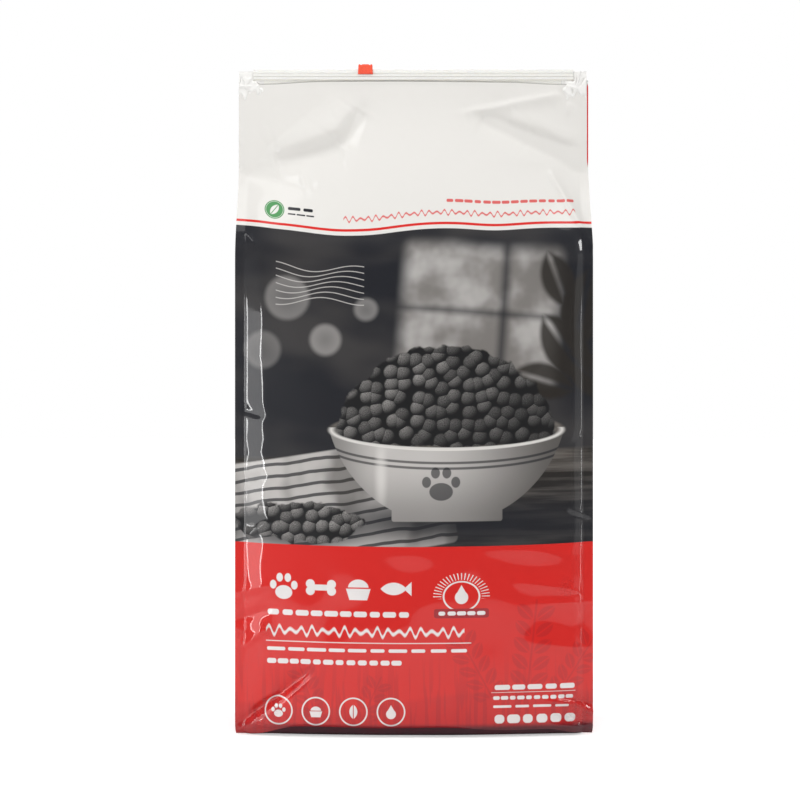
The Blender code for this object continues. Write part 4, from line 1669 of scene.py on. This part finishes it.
    back_shape = PanelShape(
        creases=crease_rows(
            (-0.15, 0.59, -0.06, 0.64, 0.0052, 0.006, 2.4), (0.03, 0.64, 0.16, 0.6, 0.0052, 0.006, 2.2),
            (-0.176, 0.012, -0.115, 0.058, 0.0055, 0.005, 2.2),
            (0.176, 0.014, 0.122, 0.052, 0.005, 0.005, 2.0), (0.164, 0.18, 0.16, 0.36, -0.0018, 0.004, 1.5),
            (-0.178, 0.21, -0.15, 0.222, -0.0016, 0.004, 1.5),
        ),
        waves=Waves(8),
    )

    wrinkled = (
        (-0.16, 0.02, 0.013), (-0.146, 0.033, 0.013),
        (-0.132, 0.046, 0.01), (0.168, 0.026, 0.018), (-0.15, 0.11, 0.012), (0.16, 0.155, 0.012),
    )
    gusset_folds = crease_rows(
        (0.0, 0.085, 0.0, 0.43, 0.0016, 0.0035, 1.0), (-0.056, 0.006, 0.0, 0.08, 0.002, 0.005, 1.0),
        (0.056, 0.006, 0.0, 0.08, 0.002, 0.005, 1.0), (-0.05, 0.5, 0.0, 0.425, 0.0018, 0.005, 1.0),
        (0.05, 0.5, 0.0, 0.425, 0.0018, 0.005, 1.0), (-0.048, 0.235, -0.02, 0.262, -0.0014, 0.006, 1.0),
        (0.018, 0.15, 0.05, 0.128, -0.0012, 0.006, 1.0), (0.02, 0.345, 0.052, 0.33, -0.0012, 0.007, 1.0),
    )

    def build(self) -> None:
        """Build and dress every panel."""
        for face in Face:
            self.panels[face] = self.panel(face)
        for side in Side:
            self.gusset(side)
        self.base()
        for side in Side:
            self.zip_end(side)

    @property
    def columns(self) -> np.ndarray:
        """Return the places of the points across a flat panel."""
        return np.linspace(-self.form.edge, self.form.edge, round(2 * self.form.edge / self.pitch) + 1)

    @property
    def rows(self) -> np.ndarray:
        """Return the heights of the points of a panel before it is filled."""
        return np.linspace(0.0, self.form.film_top, round(self.form.film_top / self.pitch) + 1)

    @property
    def seams(self) -> tuple[int, int]:
        """Return which columns of a panel its two inner weld lines are."""
        fins = round(self.form.fin / self.pitch)
        return fins, len(self.columns) - 1 - fins

    def beside_zip(self, z: np.ndarray) -> np.ndarray:
        """Return 1 at the heights where the gusset stands out past the front film, and 0 elsewhere."""
        (foot, rise), (top, fall) = self.sliver_foot, self.sliver_top
        return ease((z - foot) / rise) * ease((top - z) / fall)

    def trimmed(self, x: np.ndarray, z: np.ndarray) -> np.ndarray:
        """Return the printed heights of a panel's points, whose lower edge rises between the corners.

        Args:
            x: Places across the flat panel.
            z: Even heights.

        Returns:
            The printed heights.
        """
        (left, left_run), (right, right_run) = self.lift_ends
        to_left = ease((left + x) / left_run)
        to_right = ease((right - x) / right_run)
        lift = self.lift * (1.0 - 0.28 * ease((x - 0.02) / 0.08))
        edge = 0.001 + lift * to_left * to_right + 0.0005 * np.sin(47.0 * x)
        return z + edge * np.clip(1.0 - z / 0.05, 0.0, 1.0)

    def heights(self, x: np.ndarray, z: np.ndarray, face: Face) -> np.ndarray:
        """Return how high the film of a panel hangs when the bag is filled.

        Args:
            x: Places across the flat panel.
            z: Printed heights.
            face: Which panel it is.

        Returns:
            The heights on the filled bag.
        """
        if face is Face.FRONT:
            hang = sum(share * hump(x, middle, spread) for share, middle, spread in self.lobes)
            for share, start, run in self.drops:
                hang = hang - share * ease((start - x) / run)
            z = z - self.slump * hang * hump(z, *self.slump_band)
            z = z - self.sag * (1.0 - (x / self.form.edge) ** 2) * hump(z, *self.sag_band)
        edge = hump(z, self.form.film_top, self.edge_band)
        wave = 0.0007 * np.cos(17.0 * (x + 0.03)) - 0.001 - 0.0022 * ease((np.abs(x) - 0.1) / 0.06)
        inside = ease((self.form.edge - 0.017 - np.abs(x)) / 0.006)
        return z + edge * wave * inside

    def panel(self, face: Face) -> np.ndarray:
        """Build the front or back panel with its fins.

        Args:
            face: Which panel.

        Returns:
            The panel's points as they would face -Y.
        """
        form = self.form
        flat_x, flat_z = np.meshgrid(self.columns, self.rows)
        flat_z = self.trimmed(flat_x, flat_z)
        z = self.heights(flat_x, flat_z, face)
        seam_flat = form.edge - form.fin
        share = np.clip(flat_x / seam_flat, -1.0, 1.0)
        seam_x = form.seam_x(z)
        x = share * seam_x + (flat_x - share * seam_flat)
        shape = self.front_shape if face is Face.FRONT else self.back_shape
        y = -form.panel_y(x, z, shape)
        y[0] -= self.layer
        points = np.stack([x, y, z], axis=2)
        near_fin = hump(np.abs(flat_x), 0.16, 0.022)
        head = ease((flat_z - 0.52) / 0.06) * ease((form.film_top - flat_z) / 0.02)
        foot = ease((0.075 - flat_z) / 0.05) * ease((np.abs(flat_x) - 0.085) / 0.05)
        zip_foot = hump(flat_z, form.film_top - 0.018, 0.009)
        spare = 0.0006 + 0.003 * near_fin + 0.0034 * head + 0.006 * foot + 0.006 * zip_foot
        hold = np.full(flat_x.shape, 0.012)
        hold[np.abs(flat_x) >= seam_flat - 1e-6] = 0.12
        hold[:2] = 1.0
        hold[-3:] = 1.0
        flat = np.stack([flat_x / (2 * form.edge) + 0.5, flat_z / form.film_top], axis=2)
        sheet = FilmSheet(points, spare, hold)
        points = self.panel_settler.settle(sheet, self.seeds[face], form.mouth)
        if face is Face.FRONT:
            points[:, -1, 0] -= self.sliver * self.beside_zip(z[:, -1])
        artwork = FrontArtwork() if face is Face.FRONT else BackArtwork()
        name = f"{face.name.lower()}_panel"
        wrinkled = self.wrinkled if face is Face.FRONT else ()
        width, height = 2 * form.edge, form.film_top
        finish = self.film.material(f"film_{name}", artwork, width, height, seam_flat, wrinkled)
        shown = points if face is Face.FRONT else turned(points)
        attach(grid_object(name, shown, flat, finish), "pouch", "printed_film", "bag")
        return points

    def gusset(self, side: Side) -> None:
        """Build one side gusset, between the two panels, with its share of the fins.

        Args:
            side: Which gusset.
        """
        form = self.form
        first, last = self.seams
        near = self.panels[Face.FRONT if side is Side.RIGHT else Face.BACK]
        far = turned(self.panels[Face.BACK if side is Side.RIGHT else Face.FRONT])
        shares = np.linspace(-1.0, 1.0, round(form.gusset_width / self.pitch) + 1)
        share, z = np.meshgrid(shares, self.rows)
        across = share * form.seam_y(z)
        folded = sum(fold.pull(across, z) for fold in self.gusset_folds)
        inside = 1.0 - share**4
        hung = z - self.gusset_dip * inside * hump(z, form.film_top, self.edge_band)
        lay = np.stack([form.seam_x(z) + form.gusset_x(share, z) - folded * inside, across, hung], axis=2)
        step = np.array((0.0, self.layer, 0.0))
        near_off = (near[:, last] + step - lay[:, 0])[:, None]
        far_off = (far[:, first] - step - lay[:, -1])[:, None]
        blend = ((share + 1.0) / 2.0)[..., None]
        lay = lay + near_off * (1.0 - blend) + far_off * blend
        open_part = ease((0.55 - z) / 0.05)
        spare = 0.0008 + 0.0032 * open_part * ease((z - 0.3) / 0.15) + 0.0045 * ease((0.09 - z) / 0.07)
        spare = spare + 0.0016 * open_part
        hold = 1.0 - open_part * 0.985
        hold[:, :2] = 1.0
        hold[:, -2:] = 1.0
        hold[:2] = 1.0
        sheet = FilmSheet(lay, spare, hold)
        lay = self.gusset_settler.settle(sheet, self.seeds[side], None)
        fin_near = near[:, :last:-1] + step * np.minimum(1.0, 0.6 + np.arange(first)[None, :, None])
        fin_near[:, 0, 0] -= self.layer
        if side is Side.RIGHT:
            fin_near[:, 0, 0] += (self.sliver + self.layer) * self.beside_zip(fin_near[:, 0, 2])
        fin_far = far[:, first - 1 :: -1] - step * np.minimum(1.0, np.arange(first)[::-1][None, :, None])
        points = np.concatenate([fin_near, lay, fin_far], axis=1)
        width = form.gusset_width + 2 * form.fin
        across = np.linspace(0.0, 1.0, points.shape[1])
        flat = np.stack(np.meshgrid(across, self.rows / form.film_top), axis=2)
        name = f"{side.name.lower()}_gusset"
        artwork, seam = GussetArtwork(), form.gusset_width / 2
        finish = self.film.material(f"film_{name}", artwork, width, form.film_top, seam)
        shown = points if side is Side.RIGHT else turned(points)
        attach(grid_object(name, shown, flat, finish), "pouch", "printed_film", "bag")
        self.panels[side] = lay[0] if side is Side.RIGHT else turned(lay[0])

    def base(self) -> None:
        """Build the bottom panel, which turns up at its edges to meet the other four."""
        first, last = self.seams
        inset = np.array((0.0, self.layer * 2, 0.0))
        front = self.panels[Face.FRONT][0, first : last + 1] + inset
        back = turned(self.panels[Face.BACK][0, first : last + 1])[::-1] - inset
        right = self.panels[Side.RIGHT]
        left = self.panels[Side.LEFT][::-1]
        share = np.concatenate([[0.0, 0.004, 0.012, 0.028, 0.05], np.linspace(0.08, 0.92, 40)])
        share = np.concatenate([share, 1.0 - share[4::-1]])
        knots = np.linspace(0.0, 1.0, len(right))
        right = np.stack([np.interp(share, knots, right[:, k]) for k in range(3)], axis=1)
        left = np.stack([np.interp(share, knots, left[:, k]) for k in range(3)], axis=1)
        u = np.linspace(0.0, 1.0, len(front))[None, :, None]
        v = share[:, None, None]
        ruled = front[None] * (1 - v) + back[None] * v + left[:, None] * (1 - u) + right[:, None] * u
        corner = (front[0] * (1 - u) + front[-1] * u) * (1 - v) + (back[0] * (1 - u) + back[-1] * u) * v
        points = ruled - corner
        to_side = np.minimum(points[..., 0] - left[:, None, 0], right[:, None, 0] - points[..., 0])
        to_face = np.minimum(points[..., 1] - front[None, :, 1], back[None, :, 1] - points[..., 1])
        inward = np.clip(np.minimum(to_side, to_face) / (2.0 * self.form.foot_tuck), 0.0, 1.0)
        points[..., 2] *= 1.0 - np.sqrt(1.0 - (1.0 - inward) ** 2)
        points = points[::-1]
        flat = np.stack(np.meshgrid(u[0, :, 0], share), axis=2)
        film = LaminatedFilm(roughness=0.5, gloss=0.12, coat=0.2)
        finish = film.material("film_base", BaseArtwork(), 2 * self.form.edge, self.base_depth, 0.0)
        attach(grid_object("base_panel", points, flat, finish), "pouch", "printed_film", "bag")

    def zip_end(self, side: Side) -> None:
        """Build the crumpled film that is pressed over one end of the zip, front and back.

        Args:
            side: Which end.
        """
        form = self.form
        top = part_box("bag")[1][2]
        rows, columns = self.end_grid
        u, v = np.meshgrid(np.linspace(0.0, 1.0, columns), np.linspace(0.0, 1.0, rows))
        width, height = self.end_width, top - form.film_top + self.end_drop
        inner = form.edge - width + (0.0003 if side is Side.LEFT else -self.sliver)
        sheets = []
        for face in Face:
            draw, count = np.random.default_rng(51 + 2 * side.value + face.value), self.end_folds
            folds = [
                Crease((a, b), (a + run, b + rise), depth, wide, 1.4)
                for a, b, run, rise, depth, wide in zip(
                    draw.uniform(0.0, width, count), draw.uniform(0.0, height, count),
                    draw.normal(0.0, 0.006, count), draw.normal(0.0, 0.009, count),
                    draw.choice((-0.0009, 0.0008), count), draw.uniform(0.0006, 0.0014, count),
                )
            ]
            across, up = u * width, v * height
            crumple = self.end_crumple * sum(fold.pull(across, up) for fold in folds)
            x, z = inner + across, top - height + up
            shape = self.front_shape if face is Face.FRONT else self.back_shape
            under = form.panel_y(side.value * x, np.minimum(z, form.film_top), PanelShape((), shape.waves))
            ragged = 0.1 * np.sin(9.0 * u + 2.0 * side.value) + 0.07 * np.sin(23.0 * u)
            inside = ease((u - 0.1 * np.sin(14.0 * v) - 0.04) / 0.22) * ease((v - ragged - 0.08) / 0.16)
            over_zip = ease((x - self.slider_end) / 0.0016) + ease((self.end_drop + 0.001 - up) / 0.004)
            inside = inside * np.clip(over_zip, 0.0, 1.0)
            rim = np.clip(np.minimum((1.0 - u) / 0.05, (1.0 - v) / 0.03), 0.0, 1.0)
            soft = np.sqrt(1.0 - (1.0 - rim) ** 2)
            thick = (0.0012 + np.clip(crumple, -0.0012, 0.0016)) * inside - 0.0006 * (1.0 - inside)
            y = face.value * np.maximum(0.0004, (under + thick) * soft)
            sheets.append(np.stack([side.value * x, y, z], axis=2).reshape(-1, 3))
        faces = grid_faces(rows, columns)
        size = rows * columns
        if side is Side.LEFT:
            faces = [tuple(reversed(f)) for f in faces]
        other = [tuple(i + size for i in reversed(f)) for f in faces]
        loop = list(range(columns)) + [i * columns + columns - 1 for i in range(1, rows)]
        loop += [size - 1 - j for j in range(1, columns)] + [i * columns for i in range(rows - 2, 0, -1)]
        rims = []
        for a, b in zip(loop, loop[1:] + loop[:1]):
            quad = (b, a, a + size, b + size)
            rims.append(quad if side is Side.RIGHT else tuple(reversed(quad)))
        flat = np.stack([u, v], axis=2).reshape(-1, 2)
        name = f"zip_end_{side.name.lower()}"
        finish = self.film.material(f"film_{name}", Artwork(), width, height, 0.0)
        points = np.concatenate(sheets)
        made = mesh_object(name, points, faces + other + rims, finish, np.concatenate([flat, flat]))
        attach(made, "pouch", "printed_film", "bag")


@dataclass
class Zip:
    """The two extruded profiles of the zip, whose solids keep their shape.

    Attributes:
        finish: Their plastic.
    """

    # The lines 7.8 and 11 mm under the top are painted shade in the grooves between the ribs.
    finish: MouldedPlastic = MouldedPlastic(
        (0.93, 0.92, 0.88), 0.3, 0.1, 0.00005, 700.0, 9.0, (0.0078, 0.011), 0.0112
    )

    def dress(self) -> None:
        """Give both profiles their plastic."""
        for name in ("zip_front_profile", "zip_back_profile"):
            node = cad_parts[name]
            plastic_made = self.finish.material(f"extruded_{name}", max(v.co.z for v in node.data.vertices))
            for slot in node.material_slots:
                slot.material = plastic_made
            LOG.info("%s: dressed", name)


@dataclass
class Slider:
    """The moulded slider over the zip.

    Attributes:
        wall: How thick its sides are.
        rounding: The rounding of its ends and top edges.
        dip: How deep the two finger dips of its top are.
        dip_place: Where they are, as a share of half its length, and how far they spread.
        end_round: The share of half its length where its ends start to round off.
        rib: How high the ribs of its sides are.
        lean: How much shorter it is at its top, at each end.
        stations: How many sections it has along.
        clearance: The gap round the rails.
        rail: Half the thickness of the two rails together.
        neck: Half the thickness of the two necks.
        rail_height: How tall the rails are.
        neck_height: How tall the necks are.
        finish: Its plastic.
    """

    wall: float = 0.0016
    rounding: float = 0.0008
    dip: float = 0.0008
    dip_place: Place = (0.62, 0.13)
    end_round: float = 0.86
    rib: float = 0.00012
    lean: float = 0.0005
    stations: int = 61
    clearance: float = 0.0003
    rail: float = 0.0017
    neck: float = 0.001
    rail_height: float = 0.0037
    neck_height: float = 0.0018
    finish: MouldedPlastic = MouldedPlastic((0.97, 0.125, 0.07), 0.26, 0.08, 0.00016, 620.0)

    def outline(self, along: float, zip_top: float, crown: float) -> list[Place]:
        """Return the slider's section.

        Args:
            along: The place along it, from -1 to 1.
            zip_top: The height of the top of the rails.
            crown: The height of its own top.

        Returns:
            The section as (y, z) points.
        """
        end = max(0.0, (abs(along) - self.end_round) / (1.0 - self.end_round))
        shrink = self.rounding * (1.0 - math.sqrt(max(0.0, 1.0 - end * end)))
        side = self.rail + self.clearance
        outer = side + self.wall - shrink
        notch = float(hump(abs(along), *self.dip_place))
        top = crown - self.dip * notch - shrink
        foot = zip_top - self.rail_height - self.neck_height + self.clearance
        across, down = 1.4 * self.rounding, 2.2 * self.rounding
        round_top = [
            (outer - across * (1.0 - math.cos(a)), top - down * (1.0 - math.sin(a)))
            for a in (math.pi / 2 * k / 7 for k in range(7, -1, -1))
        ]
        grip = self.rib * math.sin(along * 34.0) * (abs(along) < 0.5)
        flank = [(outer + grip, top + (foot - top) * t) for t in (0.45, 0.6, 0.75)]
        half = [(0.0, top)] + round_top + flank + [
            (outer, foot + 0.0004),
            (outer - 0.00012, foot + 0.0001),
            (outer - 0.0004, foot),
            (self.neck + self.clearance, foot),
            (self.neck + self.clearance, zip_top - self.rail_height - self.clearance),
            (side, zip_top - self.rail_height - self.clearance),
            (side, zip_top + self.clearance),
            (0.0, zip_top + self.clearance),
        ]
        return half + [(-y, z) for y, z in reversed(half[1:-1])]

    def build(self) -> None:
        """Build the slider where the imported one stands."""
        low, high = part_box("slider")
        zip_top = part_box("zip_front_profile")[1][2]
        middle, half_length = (low[0] + high[0]) / 2, (high[0] - low[0]) / 2
        stations = np.sin(np.linspace(-math.pi / 2, math.pi / 2, self.stations))
        rings = []
        for along in stations:
            for y, z in self.outline(float(along), zip_top, high[2]):
                lean = self.lean * (z - low[2]) / (high[2] - low[2])
                rings.append((middle + float(along) * (half_length - lean), y, z))
        count = len(rings) // len(stations)
        faces = grid_faces(len(stations), count, closed=True)
        faces += [tuple(range(count - 1, -1, -1)), tuple(range(len(rings) - count, len(rings)))]
        material = self.finish.material("slider_moulded")
        made = mesh_object("slider_grip", np.array(rings), faces, material)
        made.data.set_sharp_from_angle(angle=math.radians(38.0))
        attach(made, "slider", "slider_red", "slider")


@dataclass
class Studio:
    """The floor, the dark room that the gloss shows, the lamps and the camera.

    Attributes:
        distance: How far the camera stands from the welds of the front panel.
        scale: How many metres one pixel spans there.
        camera_height: How high the camera stands.
        camera_x: How far it stands to the side.
        front: Where those welds are.
        aim: Where the lamps look.
        room: The radius of the dark room.
        room_height: Its height.
        room_sides: How many sides it has.
        floor_half: Half the width of the floor.
    """

    distance: float = 1.6
    scale: float = 0.0010335
    camera_height: float = 0.346
    camera_x: float = -0.0145
    front: float = -0.059
    aim: Point = (0.0, 0.0, 0.35)
    room: float = 1.12
    room_height: float = 3.4
    room_sides: int = 64
    floor_half: float = 12.0

    def build(self) -> None:
        """Build the whole studio."""
        scene = bpy.context.scene
        scene.view_settings.view_transform = "Standard"
        self.world(scene)
        self.floor()
        self.dark_room()
        self.lamp("lamp_left", (-0.76, -0.75, 0.265), (0.45, 0.47), 1.5)
        self.lamp("lamp_left_high", (-0.76, -0.75, 0.86), (0.45, 0.4), 1.5, shows=False)
        self.lamp("lamp_right", (0.95, -0.42, 0.5), (0.5, 0.95), 2.2, shows=False)
        self.lamp("lamp_right_soft", (0.9, -0.47, 0.46), (0.62, 0.75), 0.6)
        self.lamp("lamp_front", (0.0, -1.2, 1.6), (1.0, 0.6), 4.2, shows=False)
        self.lamp("lamp_top", (0.0, -0.35, 1.5), (1.0, 0.5), 6.0, shows=False)
        self.lamp("tube_left_near", (-0.588, -0.89, 0.26), (0.028, 0.52), 0.78)
        self.lamp("tube_left_far", (-0.907, -0.586, 0.26), (0.028, 0.52), 0.78)
        self.lamp("tube_right", (1.0, -0.36, 0.3), (0.018, 0.56), 0.25)
        self.lamp("glint_left", (-0.62, -0.4, 1.35), (0.26, 0.16), 0.3, lights=False)
        self.lamp("glint_right", (0.84, -0.46, 1.12), (0.12, 0.34), 1.7, lights=False)
        self.lamp("lamp_back_left", (-0.75, 0.7, 0.75), (0.5, 0.9), 4.4)
        self.lamp("lamp_back_right", (0.75, 0.7, 0.75), (0.5, 0.9), 4.4)
        self.camera(scene)

    def world(self, scene: bpy.types.Scene) -> None:
        """Light the scene evenly, and show white behind it.

        Args:
            scene: The scene.
        """
        world = bpy.data.worlds.new("studio")
        scene.world = world
        world.use_nodes = True
        tree = world.node_tree
        ground = tree.nodes["Background"]
        path = tree.nodes.new("ShaderNodeLightPath")
        seen = Field(tree, path.outputs["Is Camera Ray"])
        for name in ("Is Glossy Ray", "Is Transmission Ray"):
            seen = seen.math("MAXIMUM", Field(tree, path.outputs[name]))
        connect(tree, seen * 0.71 + 0.29, ground.inputs["Strength"])
        ground.inputs["Color"].default_value = (1.0, 1.0, 1.0, 1.0)

    def floor(self) -> None:
        """Lay a wide white floor that keeps the shadow."""
        made, shader = plastic("floor_white", 0.9)
        tree = made.node_tree
        shader.inputs["Base Color"].default_value = (0.86, 0.86, 0.86, 1.0)
        shader.inputs["Specular IOR Level"].default_value = 0.0
        shader.inputs["Emission Color"].default_value = (1.0, 1.0, 1.0, 1.0)
        path = tree.nodes.new("ShaderNodeLightPath")
        seen = Field(tree, path.outputs["Is Camera Ray"])
        where = tree.nodes.new("ShaderNodeNewGeometry")
        away = Plan.vector(tree, "LENGTH", where.outputs["Position"])
        connect(tree, seen * away.ramp(0.5, 1.8, 0.45, 1.0), shader.inputs["Emission Strength"])
        half = self.floor_half
        corners = np.array([(-half, -half, 0.0), (half, -half, 0.0), (half, half, 0.0), (-half, half, 0.0)])
        mesh_object("floor", corners, [(0, 1, 2, 3)], made)

    def dark_room(self) -> None:
        """Stand a dark wall round the bag that only its gloss can show."""
        made, shader = plastic("room_dark", 1.0)
        shader.inputs["Base Color"].default_value = (0.035, 0.035, 0.035, 1.0)
        shader.inputs["Specular IOR Level"].default_value = 0.0
        count, reach = self.room_sides, self.room
        angles = [2.0 * math.pi * k / count for k in range(count)]
        levels = (0.0, self.room_height)
        points = [(reach * math.cos(a), reach * math.sin(a), z) for z in levels for a in angles]
        wall = mesh_object("dark_room", np.array(points), grid_faces(2, count, closed=True), made)
        wall.visible_camera = False
        wall.visible_diffuse = False
        wall.visible_shadow = False
        wall.visible_transmission = False

    def lamp(
        self, name: str, place: Point, size: Place, power: float, shows: bool = True, lights: bool = True
    ) -> None:
        """Hang a soft lamp that looks at the middle of the bag.

        Args:
            name: The lamp's name.
            place: Where it hangs.
            size: Its width and height.
            power: Its power in watts.
            shows: Whether the gloss of the film shows it.
            lights: Whether it also lights what isn't glossy.
        """
        light = bpy.data.lights.new(name, "AREA")
        light.shape = "RECTANGLE"
        light.size, light.size_y = size
        light.energy = power
        hung = bpy.data.objects.new(name, light)
        hung.location = place
        hung.rotation_euler = (Vector(place) - Vector(self.aim)).to_track_quat("Z", "Y").to_euler()
        hung.visible_camera = False
        hung.visible_glossy = shows
        hung.visible_diffuse = lights
        bpy.context.scene.collection.objects.link(hung)

    def camera(self, scene: bpy.types.Scene) -> None:
        """Stand the camera level in front of the bag.

        Args:
            scene: The scene.
        """
        lens = bpy.data.cameras.new("camera")
        lens.lens = lens.sensor_width * self.distance / (IMAGE_SIDE * self.scale)
        stand = bpy.data.objects.new("camera", lens)
        stand.location = (self.camera_x, self.front - self.distance, self.camera_height)
        stand.rotation_euler = (math.pi / 2, 0.0, 0.0)
        scene.collection.objects.link(stand)
        scene.camera = stand


def main() -> None:
    """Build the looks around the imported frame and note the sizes."""
    logging.basicConfig(level=logging.INFO)
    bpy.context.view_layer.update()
    form = PouchForm(edge=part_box("bag")[1][0])
    Pouch(form).build()
    Zip().dress()
    Slider().build()
    Studio().build()


if __name__ == "__main__":
    main()
